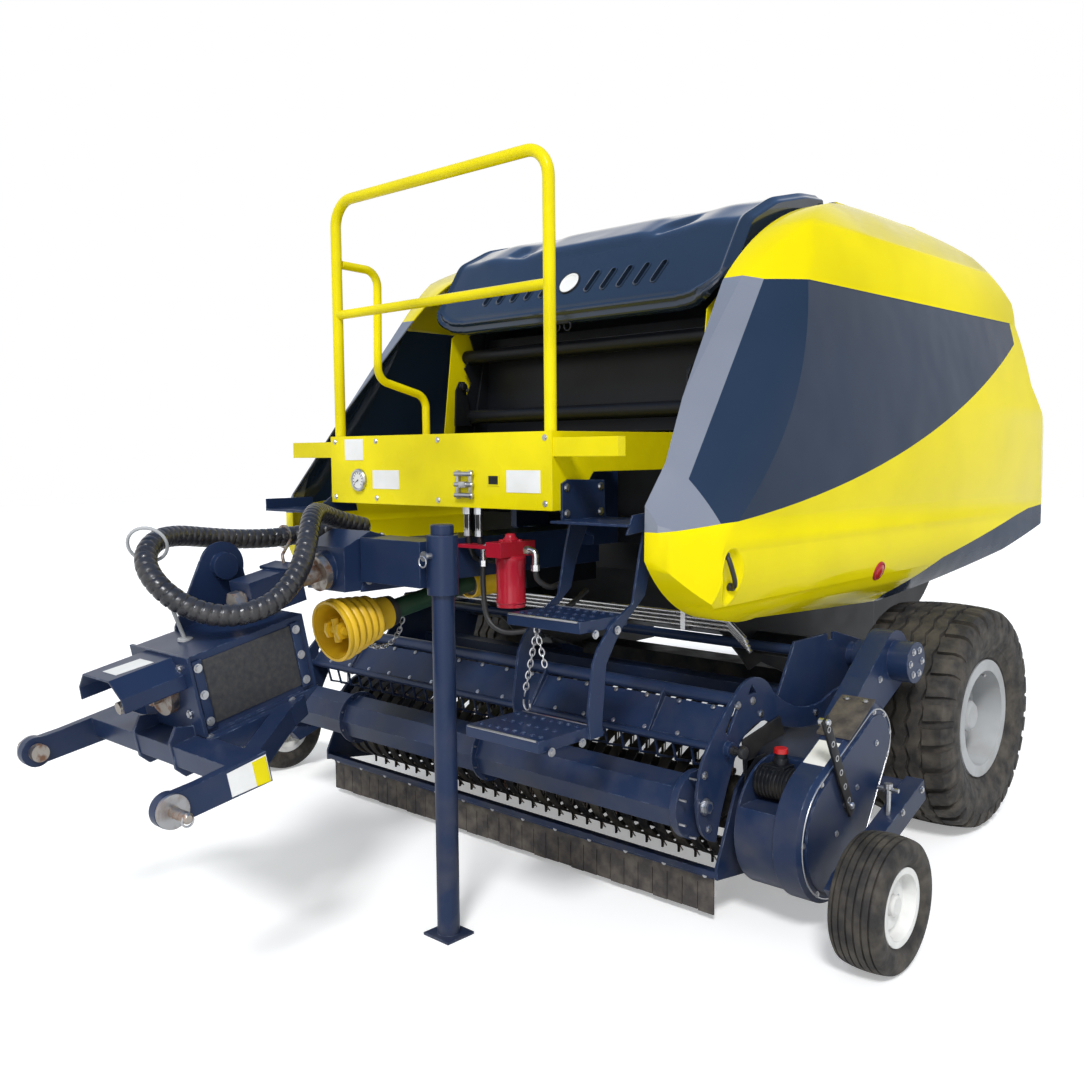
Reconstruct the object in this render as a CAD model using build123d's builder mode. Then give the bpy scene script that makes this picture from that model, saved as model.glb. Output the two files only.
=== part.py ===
"""Round baler, trailed, standing on its drawbar stand. Millimetres, +Z up, forward is -Y.

Stations along the machine are distances behind the main axle, so most profiles are drawn
on side(x), front(y) and plan(z), three views whose origin is the axle's foot on the ground.
The machine's left is +X, the side that the photograph shows.
"""
import math
import os

from build123d import *

os.makedirs("parts", exist_ok=True)

# Driving sizes
HITCH_REACH = 2965.0          # ahead of the axle, to the tip of the link arms
REAR_REACH = 1435.0           # behind the axle, to the tail lamps
AXLE_Y = (HITCH_REACH - REAR_REACH) / 2
FIT = 0.5                     # radial play of a shaft in its bearing
GAP = 6.0                     # play between pieces that move past each other
PLATE = 10.0
SHEET = 4.0
SIDES = (("left", 1), ("right", -1))


def side(x):
    """Side view at x: first axis to the rear, second up; extrudes to the machine's left."""
    return Plane(origin=(x, AXLE_Y, 0), x_dir=(0, 1, 0), z_dir=(1, 0, 0))


def front(y):
    """Front view at y: first axis to the left, second up; extrudes forward."""
    return Plane(origin=(0, AXLE_Y + y, 0), x_dir=(1, 0, 0), z_dir=(0, -1, 0))


def plan(z):
    """Plan view at height z: first axis to the left, second to the rear; extrudes up."""
    return Plane(origin=(0, AXLE_Y, z), x_dir=(1, 0, 0), z_dir=(0, 0, 1))


def save(piece, name):
    piece.part.label = name
    export_step(piece.part, f"parts/{name}.step")


def disc(plane, centre, radius, length, mode=Mode.ADD):
    """A round bar or bore along a view's normal."""
    with BuildSketch(plane) as section:
        with Locations(centre):
            Circle(radius)
    extrude(section.sketch, amount=length, mode=mode)


def slab(plane, points, thickness, mode=Mode.ADD):
    """A flat plate with a straight-sided outline, cut from sheet of this thickness."""
    with BuildSketch(plane) as outline:
        with BuildLine():
            Polyline(*points, close=True)
        make_face()
    extrude(outline.sketch, amount=thickness, mode=mode)


def block(plane, centre, size, depth, mode=Mode.ADD):
    """A bar of rectangular section along a view's normal."""
    with BuildSketch(plane) as section:
        with Locations(centre):
            Rectangle(*size)
    extrude(section.sketch, amount=depth, mode=mode)


def hub_view(centre, s):
    """Upright section through an axle: first axis outward along it, second the radius."""
    x, y, z = centre
    return Plane(origin=(x, AXLE_Y + y, z), x_dir=(s, 0, 0), z_dir=(0, -s, 0))


def turned(centre, s, outline, mode=Mode.ADD):
    """A piece turned about a line across the machine; outline is (outward, radius)."""
    x, y, z = centre
    with BuildSketch(hub_view(centre, s)) as half:
        with BuildLine():
            Polyline(*outline, close=True)
        make_face()
    revolve(half.sketch, axis=Axis((x, AXLE_Y + y, z), (1, 0, 0)), mode=mode)


def tube_path(points, radius, bend):
    """A round tube bent along a path of (x, behind the axle, z) points."""
    with BuildLine() as path:
        FilletPolyline(*[(x, AXLE_Y + y, z) for x, y, z in points], radius=bend)
    with BuildSketch(Plane(origin=path.line @ 0, z_dir=path.line % 0)) as section:
        Circle(radius)
    sweep(section.sketch, path=path.line)


# Main wheels, 400/60-15.5 size, and the pickup's gauge wheels
TYRE_R = 437.0
TYRE_W = 404.0
TRACK_X = 1113.0
RIM_R = 197.0
FLANGE_R = 228.0
RIM_W = 345.0
AXLE_Z = TYRE_R
SPINDLE_R = 32.0
HUB_R = 60.0
GAUGE_R = 195.5
GAUGE_W = 155.0
GAUGE_X = 1515.0
GAUGE_Y = -1349.0
GAUGE_RIM_R = 100.0
GAUGE_FLANGE_R = 113.0
GAUGE_RIM_W = 128.0
GAUGE_SPINDLE_R = 12.5
GAUGE_HUB_R = 30.0
GAUGE_HUB_OUT = 50.0
LUGS = 30                     # shoulder lugs round a main tyre
GROOVE_W = 26.0
GROOVE_FLOOR = 408.0          # radius at the bottom of the shoulder grooves


def tyre_body(centre, s, radius, width, bead_r, flange_r, bead_w, shoulder):
    """A tyre: bulged walls between the beads and a slightly crowned tread."""
    x, y, z = centre
    wall = bead_r + 0.55 * (radius - bead_r)
    edge = width / 2 - 0.45 * shoulder
    drop = radius - 0.22 * shoulder
    with BuildSketch(hub_view(centre, s)) as half:
        with BuildLine():
            ThreePointArc((bead_w / 2, flange_r), (width / 2, wall), (edge, drop))
            ThreePointArc((edge, drop), (0, radius), (-edge, drop))
            ThreePointArc((-edge, drop), (-width / 2, wall), (-bead_w / 2, flange_r))
            Polyline((-bead_w / 2, flange_r), (-bead_w / 2, bead_r), (bead_w / 2, bead_r),
                     (bead_w / 2, flange_r))
        make_face()
    revolve(half.sketch, axis=Axis((x, AXLE_Y + y, z), (1, 0, 0)))


def rim_body(centre, s, seat, flange, width, lip, disc_at, hub_r, hub_in, hub_out, bore_r):
    """A wheel's steel rim: flanged barrel, dished disc and hub with its cap."""
    half = width / 2
    turned(centre, s, ((-half, seat - lip), (-half, flange), (-half + lip, flange),
                       (-half + lip, seat), (half - lip, seat), (half - lip, flange),
                       (half, flange), (half, seat - lip)))
    turned(centre, s, ((disc_at, hub_r - 2), (disc_at, 0.72 * seat), (disc_at - 2 * lip, 0.8 * seat),
                       (disc_at - lip, seat - lip / 2), (disc_at, seat - lip / 2),
                       (disc_at - lip, 0.8 * seat + lip / 2), (disc_at + lip, 0.72 * seat),
                       (disc_at + lip, hub_r - 2)))
    turned(centre, s, ((hub_in, bore_r), (hub_in, hub_r), (hub_out - lip, hub_r),
                       (hub_out, hub_r - lip), (hub_out, 0), (hub_out - lip, 0),
                       (hub_out - lip, bore_r)))


for name, s in SIDES:
    hub = (s * TRACK_X, 0, AXLE_Z)
    with BuildPart() as main_tyre:
        tyre_body(hub, s, TYRE_R, TYRE_W, RIM_R, FLANGE_R, RIM_W - 24, 60)
        groove_planes = [side(s * TRACK_X + start) for start in (-TYRE_W / 2 - 4, 0.28 * TYRE_W)]
        with BuildSketch(*groove_planes) as grooves:
            with Locations((0, AXLE_Z)):
                with PolarLocations(GROOVE_FLOOR + 30, LUGS, start_angle=-90 + 180 / LUGS):
                    Rectangle(60, GROOVE_W)
        extrude(grooves.sketch, amount=0.22 * TYRE_W + 4, mode=Mode.SUBTRACT)
    save(main_tyre, f"main_tyre_{name}")
    with BuildPart() as main_rim:
        rim_body(hub, s, RIM_R, FLANGE_R, RIM_W, 12, 60, HUB_R, -70, 130, SPINDLE_R + FIT)
    save(main_rim, f"main_rim_{name}")

    hub = (s * GAUGE_X, GAUGE_Y, GAUGE_R)
    with BuildPart() as gauge_tyre:
        tyre_body(hub, s, GAUGE_R, GAUGE_W, GAUGE_RIM_R, GAUGE_FLANGE_R, GAUGE_RIM_W - 12, 30)
    save(gauge_tyre, f"gauge_tyre_{name}")
    with BuildPart() as gauge_rim:
        rim_body(hub, s, GAUGE_RIM_R, GAUGE_FLANGE_R, GAUGE_RIM_W, 6, 24, GAUGE_HUB_R, -40,
                 GAUGE_HUB_OUT, GAUGE_SPINDLE_R + FIT)
    save(gauge_rim, f"gauge_rim_{name}")

# Chassis: axle, side walls, top frame
WALL_X = 620.0                # inner face of the side walls
CHAMBER_Y = 400.0
CHAMBER_Z = 1420.0
CHAMBER_R = 620.0             # bale radius
ROOF_Z = 2360.0
ROOF_X = 770.0
TAIL_HINGE = (CHAMBER_Y + 20, 2305.0)
DOOR_HINGE_X = 788.0
DOOR_HINGE_Z = 2418.0
AXLE_BAR = 110.0
BEAM_X = TRACK_X - 243        # half length of the axle's square beam
LIFT_Y = -580.0               # pickup's lift axis
LIFT_Z = 740.0
LIFT_PIN_R = 25.0

with BuildPart() as axle:
    block(side(-BEAM_X), (0, AXLE_Z), (AXLE_BAR, AXLE_BAR), 2 * BEAM_X)
    for s in (1, -1):
        turned((0, 0, AXLE_Z), s, ((BEAM_X - 10, 0), (BEAM_X - 10, 48), (TRACK_X - 80, SPINDLE_R),
                                   (TRACK_X + 90, SPINDLE_R), (TRACK_X + 90, 0)))
save(axle, "axle")

with BuildPart() as chassis:
    for x in (WALL_X, -WALL_X - PLATE):
        slab(side(x), ((-940, 900), (-940, 1400), (-800, 2050), (-640, ROOF_Z - 60),
                       (CHAMBER_Y - 60, ROOF_Z - 60), (CHAMBER_Y - 40, TAIL_HINGE[1] + 32),
                       (CHAMBER_Y + 50, TAIL_HINGE[1] + 32), (CHAMBER_Y + 50, TAIL_HINGE[1] - 25),
                       (CHAMBER_Y, TAIL_HINGE[1] - 50), (CHAMBER_Y, AXLE_Z + AXLE_BAR / 2),
                       (-120, AXLE_Z + AXLE_BAR / 2), (-560, 660), (-640, 640), (-700, 700)), PLATE)
    for y, z, w, h in ((-860, 1180, 100, 100), (-100, AXLE_Z + AXLE_BAR / 2 + 30, 160, 60)):
        block(side(-WALL_X), (y, z), (w, h), 2 * WALL_X)
    for s in (1, -1):
        start = WALL_X + PLATE if s > 0 else -WALL_X - PLATE - 130
        for y in (-560, 300):
            block(side(start), (y, ROOF_Z - 90), (60, 60), 130)
        start = WALL_X + PLATE if s > 0 else -940
        disc(side(start), (LIFT_Y, LIFT_Z), 45, 940 - WALL_X - PLATE)
        start = 940 if s > 0 else -1045
        disc(side(start), (LIFT_Y, LIFT_Z), LIFT_PIN_R, 105)
    disc(side(-WALL_X), TAIL_HINGE, 20, 2 * WALL_X)
save(chassis, "chassis")

with BuildPart() as bale_chamber:
    slab(side(-WALL_X), ((-720, 1000), (-740, 1450), (-640, 2050), (-420, 2290),
                         (CHAMBER_Y - 60, 2290), (CHAMBER_Y, 2250), (CHAMBER_Y, 640), (-40, 640), (-380, 760)),
         2 * WALL_X)
    disc(side(-WALL_X), (CHAMBER_Y, CHAMBER_Z), CHAMBER_R, 2 * WALL_X, Mode.SUBTRACT)
save(bale_chamber, "bale_chamber")

# Tailgate, closed against the chamber
with BuildPart() as tailgate:
    start = CHAMBER_Y + GAP
    with BuildSketch(side(-WALL_X + GAP)):
        with BuildLine():
            Line((start, 2260), (start + 340, 2220))
            ThreePointArc((start + 340, 2220), (start + 700, 1960), (start + 820, 1500))
            Line((start + 820, 1500), (start + 760, 1050))
            ThreePointArc((start + 760, 1050), (start + 560, 770), (start + 200, 660))
            Polyline((start + 200, 660), (start, 660), (start, 2260))
        make_face()
    extrude(amount=2 * (WALL_X - GAP))
    disc(side(-WALL_X + GAP + PLATE), (CHAMBER_Y, CHAMBER_Z), CHAMBER_R,
         2 * (WALL_X - GAP - PLATE), Mode.SUBTRACT)
    for x in (-400, 320):
        disc(side(x), TAIL_HINGE, 28, 80)
        block(side(x), (TAIL_HINGE[0] + 14, TAIL_HINGE[1] - 40), (20, 60), 80)
    disc(side(-400), TAIL_HINGE, 20 + FIT, 800, Mode.SUBTRACT)
save(tailgate, "tailgate")

# Hood over the wrap box
HOOD_X = 764.0
HOOD_HINGE = (-345.0, 2425.0)
HOOD_LINE = ((-1012, 1985), (-1035, 2040), (-950, 2180), (-870, 2310), (-690, 2400), (-480, 2450),
             (-360, 2460))
VENTS = 5                     # louvres in the hood, each side of the round boss
VENT_FIRST = 120.0
VENT_PITCH = 80.0
BOSS_Z = 2148.0
hood_face = Plane(origin=(0, AXLE_Y - 969, BOSS_Z), x_dir=(1, 0, 0), z_dir=(0, -140, 85))
with BuildPart() as hood:
    inner = [(y + 14, z - 14) for y, z in reversed(HOOD_LINE)]
    slab(side(-HOOD_X), HOOD_LINE + tuple(inner), 2 * HOOD_X)
    for s in (1, -1):
        with BuildSketch(front(-800)) as corner:
            with BuildLine():
                ThreePointArc((s * (HOOD_X + 1), 2190), (s * (HOOD_X - 49), 2040), (s * 590, 1983))
                Polyline((s * 590, 1983), (s * 590, 1900), (s * 900, 1900), (s * 900, 2190),
                         (s * (HOOD_X + 1), 2190))
            make_face()
        extrude(corner.sketch, amount=300, mode=Mode.SUBTRACT)
    for x in (-HOOD_X, HOOD_X - SHEET):
        slab(side(x), HOOD_LINE[2:] + ((-360, 2380), (-880, 2180)), SHEET)
    vents = [s * (VENT_FIRST + i * VENT_PITCH) for s in (1, -1) for i in range(VENTS)]
    with BuildSketch(hood_face.offset(-40)) as louvres:
        with Locations(*[(x, -6) for x in vents]):
            SlotOverall(100, 25, rotation=72)
    extrude(louvres.sketch, amount=80, mode=Mode.SUBTRACT)
    with BuildSketch(hood_face.offset(-6)) as boss:
        Circle(45)
    extrude(boss.sketch, amount=14)
    disc(side(-680), HOOD_HINGE, 24, 1360)
    disc(side(-HOOD_X), HOOD_HINGE, 10 + FIT, 2 * HOOD_X, Mode.SUBTRACT)
save(hood, "hood")

with BuildPart() as roof:
    slab(front(480), ((-ROOF_X, ROOF_Z - 60), (-ROOF_X, ROOF_Z), (-ROOF_X + 60, ROOF_Z + 40),
                      (ROOF_X - 60, ROOF_Z + 40), (ROOF_X, ROOF_Z), (ROOF_X, ROOF_Z - 60),
                      (ROOF_X - SHEET, ROOF_Z - 60), (ROOF_X - SHEET, ROOF_Z - 4),
                      (ROOF_X - 62, ROOF_Z + 36), (-ROOF_X + 62, ROOF_Z + 36),
                      (-ROOF_X + SHEET, ROOF_Z - 4), (-ROOF_X + SHEET, ROOF_Z - 60)), 780)
    disc(side(-710), HOOD_HINGE, 10, 1420)
    for x in (-710, 690):
        slab(side(x), ((-357, 2395), (-357, 2437), (-310, 2437), (-285, 2396), (-285, 2380)), 20)
    for s in (1, -1):
        for y in (-250, 350):
            disc(front(y + 30), (DOOR_HINGE_X * s, DOOR_HINGE_Z), 8, 120)
            for at in (y + 30, y - 60 - GAP):
                slab(front(at), ((s * 762, 2350), (s * (DOOR_HINGE_X + 8), DOOR_HINGE_Z - 8),
                                 (s * (DOOR_HINGE_X + 8), DOOR_HINGE_Z + 8),
                                 (s * (DOOR_HINGE_X - 10), DOOR_HINGE_Z + 8),
                                 (s * 740, 2372)), 24)
save(roof, "roof")

with BuildPart() as cheeks:
    for x in (WALL_X + 40, -WALL_X - 40 - SHEET):
        slab(side(x), ((-1040, 1560), (-985, 1980), (-700, 2200), (-640, 2200), (-640, 1560)), SHEET)
        start = WALL_X + PLATE if x > 0 else x + SHEET
        block(side(start), (-700, 1900), (60, 40), 30)
save(cheeks, "cheeks")

with BuildPart() as wrap_box:
    slab(side(-WALL_X), ((-960, 1560), (-960, 1566), (-820, 1566), (-800, 1980), (-794, 1980),
                         (-808, 1560)), 2 * WALL_X)
    for y, z in ((-925, 1640), (-900, 1900)):
        disc(side(-WALL_X - 40), (y, z), 30, 2 * WALL_X + 80)
save(wrap_box, "wrap_box")

# Drawbar and what it carries
BAR_X = 100.0
BAR_LOW = 1050.0
BAR_TOP = 1190.0
ARM_TIP_R = 45.0
PIN_Y = ARM_TIP_R - HITCH_REACH
KING_Y = PIN_Y + 520          # king pin, where it crosses the roll shaft
ROLL_Y = KING_Y + 235         # where the roll shaft leaves the drawbar
BAR_FRONT = ROLL_Y + 15
STAND_X = 430.0
STAND_Y = BAR_FRONT + 118
STAND_R = 35.0
ROLL_Z = 1112.0
TILT_DEG = 12.0               # roll shaft and headstock nose down
COS = math.cos(math.radians(TILT_DEG))
SIN = math.sin(math.radians(TILT_DEG))
KING_Z = ROLL_Z - 235 * SIN / COS

roll = Plane(origin=(0, AXLE_Y + ROLL_Y, ROLL_Z), x_dir=(1, 0, 0), z_dir=(0, -COS, -SIN))


def head_side(x):
    """Side view of the tilted headstock, origin where king pin and roll shaft cross."""
    return Plane(origin=(x, AXLE_Y + KING_Y, KING_Z), x_dir=(0, COS, SIN), z_dir=(1, 0, 0))


def head_plan(rise):
    """Its plan view at this height along the king pin."""
    return Plane(origin=(0, AXLE_Y + KING_Y - SIN * rise, KING_Z + COS * rise), x_dir=(1, 0, 0),
                 z_dir=(0, -SIN, COS))


def head_front(along):
    """Its front view, this far behind the king pin."""
    return Plane(origin=(0, AXLE_Y + KING_Y + COS * along, KING_Z + SIN * along),
                 x_dir=(1, 0, 0), z_dir=(0, -COS, -SIN))


with BuildPart() as drawbar:
    block(front(-910), (0, (BAR_LOW + BAR_TOP) / 2), (2 * BAR_X, BAR_TOP - BAR_LOW),
          -910 - BAR_FRONT)
    block(front(-910), (0, (BAR_LOW + BAR_TOP) / 2 - 8), (2 * BAR_X - 16, BAR_TOP - BAR_LOW),
          -1210 - BAR_FRONT, Mode.SUBTRACT)
    with BuildSketch(roll.offset(-70)):
        Circle(62)
    extrude(amount=70)
    slab(side(-BAR_X), ((BAR_FRONT, BAR_TOP), (BAR_FRONT + 105, BAR_TOP + 48),
                        (BAR_FRONT + 270, BAR_TOP)), 2 * BAR_X)
    for x in (-BAR_X - 8, BAR_X):
        slab(side(x), ((BAR_FRONT + 60, BAR_LOW - 4), (BAR_FRONT + 130, BAR_TOP + 4),
                       (BAR_FRONT + 280, BAR_TOP + 4), (BAR_FRONT + 280, BAR_LOW - 4)), 8)
    block(side(BAR_X + 8), (STAND_Y, 1150), (120, 140), STAND_X - STAND_R - BAR_X - 8)
    block(side(BAR_X + 8), (STAND_Y, 1150), (100, 120), STAND_X - STAND_R - BAR_X - 8 - 12,
          Mode.SUBTRACT)
    disc(plan(1060), (STAND_X, STAND_Y), STAND_R + FIT + 12, 180)
    disc(plan(1060), (STAND_X, STAND_Y), STAND_R + FIT, 180, Mode.SUBTRACT)
    for x in (-200, 170):
        slab(side(x), ((-1100, 1190), (-1100, 1457), (-912, 1457), (-912, 1130), (-1000, 1130)), 30)
    block(side(-200), (-1000, 1160), (120, 60), 400)
save(drawbar, "drawbar")

with BuildPart() as stand:
    disc(plan(8), (STAND_X, STAND_Y), STAND_R, 1262)
    block(plan(0), (STAND_X, STAND_Y), (112, 108), 8)
save(stand, "stand")

# Swivel and two-point headstock
PIN_X = 410.0
PIN_Z = 612.0
PIN_R = 14.3
KING_R = 30.0
SLEEVE = 110.0
HEAD_X = 150.0
HEAD_TOP = -SLEEVE / 2 - GAP
HEAD_LOW = HEAD_TOP - 228
HEAD_NOSE = -350.0
ARM_TOP = -296.0
STUB_R = 17.5
STUB_UP = -172.0
with BuildPart() as roll_shaft:
    with BuildSketch(roll):
        Circle(60)
    extrude(amount=24)
    with BuildSketch(roll):
        Circle(28)
    extrude(amount=320)
    with BuildSketch(roll.offset(300)):
        RegularPolygon(34, 6)
    extrude(amount=30)
save(roll_shaft, "roll_shaft")

with BuildPart() as swivel:
    with BuildSketch(roll.offset(110)) as sleeve:
        Rectangle(SLEEVE, SLEEVE)
        Circle(28 + FIT, mode=Mode.SUBTRACT)
    extrude(amount=184)
    with BuildSketch(roll.offset(110)):
        with Locations((0, SLEEVE / 2 + 4)):
            Rectangle(SLEEVE + 40, 10)
    extrude(amount=60)
    disc(head_plan(HEAD_LOW - 6), (0, 0), KING_R, -HEAD_LOW + 6 - SLEEVE / 2 + 12)
save(swivel, "swivel")

with BuildPart() as headstock:
    for rise in (HEAD_LOW, HEAD_TOP - 12):
        slab(head_plan(rise), ((-HEAD_X, HEAD_NOSE), (HEAD_X, HEAD_NOSE), (HEAD_X, 42),
                               (-HEAD_X, 42)), 12)
    for x in (HEAD_X - PLATE, -HEAD_X):
        slab(head_side(x), ((HEAD_NOSE, HEAD_LOW), (HEAD_NOSE, HEAD_TOP), (42, HEAD_TOP),
                            (42, HEAD_LOW)), PLATE)
    slab(head_side(-HEAD_X - PLATE), ((-215, HEAD_TOP - 30), (-205, -50), (-80, 118), (56, 118),
                                      (60, -50), (60, HEAD_TOP - 30)), PLATE)
    disc(head_side(-HEAD_X - PLATE), (-11, 84), 75, PLATE)
    disc(head_side(-HEAD_X), (-11, 84), 42, 26)
    block(head_front(HEAD_NOSE + PLATE), (0, (HEAD_LOW + HEAD_TOP) / 2),
          (2 * HEAD_X + 30, HEAD_TOP - HEAD_LOW + 6), PLATE)
    disc(head_plan(HEAD_LOW - 6), (0, 0), KING_R + 20, HEAD_TOP - HEAD_LOW + 6)
    disc(head_plan(HEAD_LOW - 20), (0, 0), KING_R + FIT, HEAD_TOP - HEAD_LOW + 40, Mode.SUBTRACT)
    for x in (98, -110):
        slab(head_side(x), ((-340, HEAD_LOW + 20), (-400, HEAD_LOW + 40), (-428, ARM_TOP + 10),
                            (-428, ARM_TOP - 70), (-405, ARM_TOP - 100), (-375, ARM_TOP - 100),
                            (-352, ARM_TOP - 70)), 12)
    slab(head_plan(ARM_TOP - 60), ((-PIN_X + 20, -425), (PIN_X - 20, -425), (PIN_X - 20, -320),
                                   (215, -100), (HEAD_X + 20, -20), (-HEAD_X - 20, -20),
                                   (-215, -100), (-PIN_X + 20, -320)), 60)
    for s in (1, -1):
        slab(head_plan(ARM_TOP - 60), ((s * 335, -335), (s * 185, -335), (s * 185, -150)), 60,
             Mode.SUBTRACT)
    slab(head_plan(ARM_TOP - 60), ((-140, -335), (140, -335), (140, -60), (-140, -60)), 60,
         Mode.SUBTRACT)
    for x in (HEAD_X, -HEAD_X - 12):
        slab(head_side(x), ((-345, HEAD_LOW + 2), (-345, ARM_TOP - 30), (-25, ARM_TOP - 30),
                            (40, HEAD_LOW + 2)), 12)
    for x in (PIN_X - 25, -PIN_X - 5):
        slab(head_side(x), ((-318, ARM_TOP), (-318, ARM_TOP - 86), (-590, ARM_TOP - 76),
                            (-600, ARM_TOP + 4), (-520, ARM_TOP)), 30)
        disc(side(x), (PIN_Y, PIN_Z), ARM_TIP_R, 30)
    for x in (PIN_X - 25, -PIN_X - 5):
        disc(side(x), (PIN_Y, PIN_Z), PIN_R, 30, Mode.SUBTRACT)
save(headstock, "headstock")

for name, s in SIDES:
    with BuildPart() as link_pin:
        turned((s * PIN_X, PIN_Y, PIN_Z), s, ((-50, 0), (-50, 26), (-25, 26), (-25, PIN_R),
                                              (5, PIN_R), (5, 24), (15, 24), (15, PIN_R),
                                              (84, PIN_R), (90, PIN_R - 6), (90, 0)))
    save(link_pin, f"link_pin_{name}")

with BuildPart() as input_stub:
    disc(head_front(HEAD_NOSE), (0, STUB_UP), 70, 25)
    disc(head_front(HEAD_NOSE - 25), (0, STUB_UP), 30, 30)
    disc(head_front(HEAD_NOSE - 55), (0, STUB_UP), STUB_R, 92)
save(input_stub, "input_stub")

with BuildPart() as input_guard:
    with BuildSketch(head_front(HEAD_NOSE)):
        with BuildLine():
            Polyline((-130, -148), (-124, -112), (-76, -68), (76, -68), (124, -112), (130, -148))
            offset(amount=2.5)
        make_face()
    extrude(amount=185)
save(input_guard, "input_guard")

# Cardan shaft, hung under the drawbar
SHAFT_LOW = (0.0, BAR_FRONT + 90, 925.0)
SHAFT_HIGH = (0.0, -1380.0, 1040.0)
shaft_len = math.dist(SHAFT_LOW, SHAFT_HIGH)
shaft = Plane(origin=(SHAFT_LOW[0], AXLE_Y + SHAFT_LOW[1], SHAFT_LOW[2]), x_dir=(1, 0, 0),
              z_dir=(0, SHAFT_HIGH[1] - SHAFT_LOW[1], SHAFT_HIGH[2] - SHAFT_LOW[2]))
with BuildPart() as cardan_tube:
    with BuildSketch(shaft):
        Circle(34)
    extrude(amount=shaft_len)
save(cardan_tube, "cardan_tube")
with BuildPart() as cardan_guards:
    for at, big, small, length in ((-70, 95, 60, 180), (shaft_len - 6, 75, 56, -150)):
        with BuildSketch(shaft.offset(at)):
            Circle(big)
            Circle(big - 5, mode=Mode.SUBTRACT)
        with BuildSketch(shaft.offset(at + length)):
            Circle(small)
            Circle(small - 5, mode=Mode.SUBTRACT)
        loft()
    for at in (80, shaft_len - 145):
        with BuildSketch(shaft.offset(at)):
            Circle(56)
            Circle(34, mode=Mode.SUBTRACT)
        extrude(amount=20)
save(cardan_guards, "cardan_guards")

with BuildPart() as gearbox:
    block(front(-910), (0, 1055), (170, 150), 400)
    with BuildSketch(shaft.offset(shaft_len)):
        Circle(40)
    extrude(amount=80)
save(gearbox, "gearbox")

# Platform, rails and ladder
DECK_X = 575.0
DECK_Y = -1700.0
DECK_Z = 1475.0
KICK_Z = 1550.0
RAIL_R = 20.0
RAIL_Z = 2428.0
RAIL_X = (RAIL_R + 6.5 - DECK_X, 545.0)
RAIL_Y = DECK_Y + 8 + RAIL_R
RAIL_MID = DECK_Z + 0.56 * (RAIL_Z - DECK_Z)
with BuildPart() as platform:
    block(plan(DECK_Z), (0, (DECK_Y - 1010) / 2), (2 * DECK_X, DECK_Y * -1 - 1010), SHEET)
    block(plan(1300), (0, DECK_Y + 4), (2 * DECK_X, 8), KICK_Z - 1300)
    for x in (DECK_X - 6, -DECK_X):
        slab(side(x), ((DECK_Y, 1300), (DECK_Y, KICK_Z), (-1010, KICK_Z), (-1010, 1420),
                       (-1500, 1420), (-1600, 1300)), 6)
    for s in (1, -1):
        start = DECK_X if s > 0 else -DECK_X - 260
        block(side(start), (DECK_Y + 24, 1500), (36, 60), 260)
    for x in (-200, 170):
        block(side(x), (-1080, 1466), (140, 18), 30)
save(platform, "platform")

with BuildPart() as rail:
    tube_path(((RAIL_X[0], RAIL_Y, DECK_Z + SHEET), (RAIL_X[0], RAIL_Y, RAIL_Z),
               (RAIL_X[1], RAIL_Y, RAIL_Z), (RAIL_X[1], RAIL_Y, DECK_Z + SHEET)), RAIL_R, 95)
    disc(side(RAIL_X[0]), (RAIL_Y, RAIL_MID), RAIL_R - 3, RAIL_X[1] - RAIL_X[0])
save(rail, "rail")

with BuildPart() as handrail:
    tube_path(((RAIL_X[0], RAIL_Y + RAIL_R + 0.2, RAIL_Z - 228), (RAIL_X[0], -1478, RAIL_Z - 234),
               (RAIL_X[0], -1486, 1775), (RAIL_X[0], -1240, 1715),
               (RAIL_X[0], -1240, DECK_Z + SHEET)), RAIL_R - 4, 60)
save(handrail, "handrail")

LADDER_X = (560.0, 860.0)
TRAY_Z = 1262.0
TREADS = ((-1895.0, -1680.0, 1000.0), (-2070.0, -1840.0, 690.0))      # front, back, top
with BuildPart() as ladder:
    for x in LADDER_X:
        slab(side(x - 4), ((-1600, TRAY_Z), (-1626, 1175), (-1661, 1030), (-1758, 981), (-1823, 917),
                           (-1846, 873), (-1870, 727), (-1860, 655), (-1800, 655), (-1807, 690),
                           (-1787, 864), (-1749, 919), (-1701, 974), (-1602, 1049), (-1571, 1146),
                           (-1509, TRAY_Z)), 8)
    mid_x = (LADDER_X[0] + LADDER_X[1]) / 2
    step_w = LADDER_X[1] - LADDER_X[0] - 8
    for ahead, behind, top in TREADS:
        block(plan(top - 34), (mid_x, (ahead + behind) / 2), (step_w, behind - ahead), 34)
        block(plan(top - 34), (mid_x, (ahead + behind) / 2), (step_w - 8, behind - ahead - 8), 30,
              Mode.SUBTRACT)
    block(plan(TRAY_Z), ((DECK_X + 880) / 2, -1575), (880 - DECK_X, 270), 8)
    slab(side(874), ((-1710, TRAY_Z - 24), (-1680, TRAY_Z + 34), (-1460, TRAY_Z + 50),
                     (-1440, TRAY_Z)), 6)
    slab(side(DECK_X), ((-1661, TRAY_Z), (-1661, 1385), (-1631, 1398), (-1455, 1392), (-1450, TRAY_Z)), 8)
save(ladder, "ladder")

with BuildPart() as tray_right:
    block(plan(TRAY_Z), (-(DECK_X + 880) / 2, -1690), (880 - DECK_X, 220), 8)
    block(plan(TRAY_Z), (-877, -1690), (6, 220), 48)
    slab(side(-DECK_X - 8), ((-1800, TRAY_Z), (-1700, TRAY_Z + 60), (-1690, 1385), (-1600, 1385),
                             (-1580, TRAY_Z)), 8)
save(tray_right, "tray_right")

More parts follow.
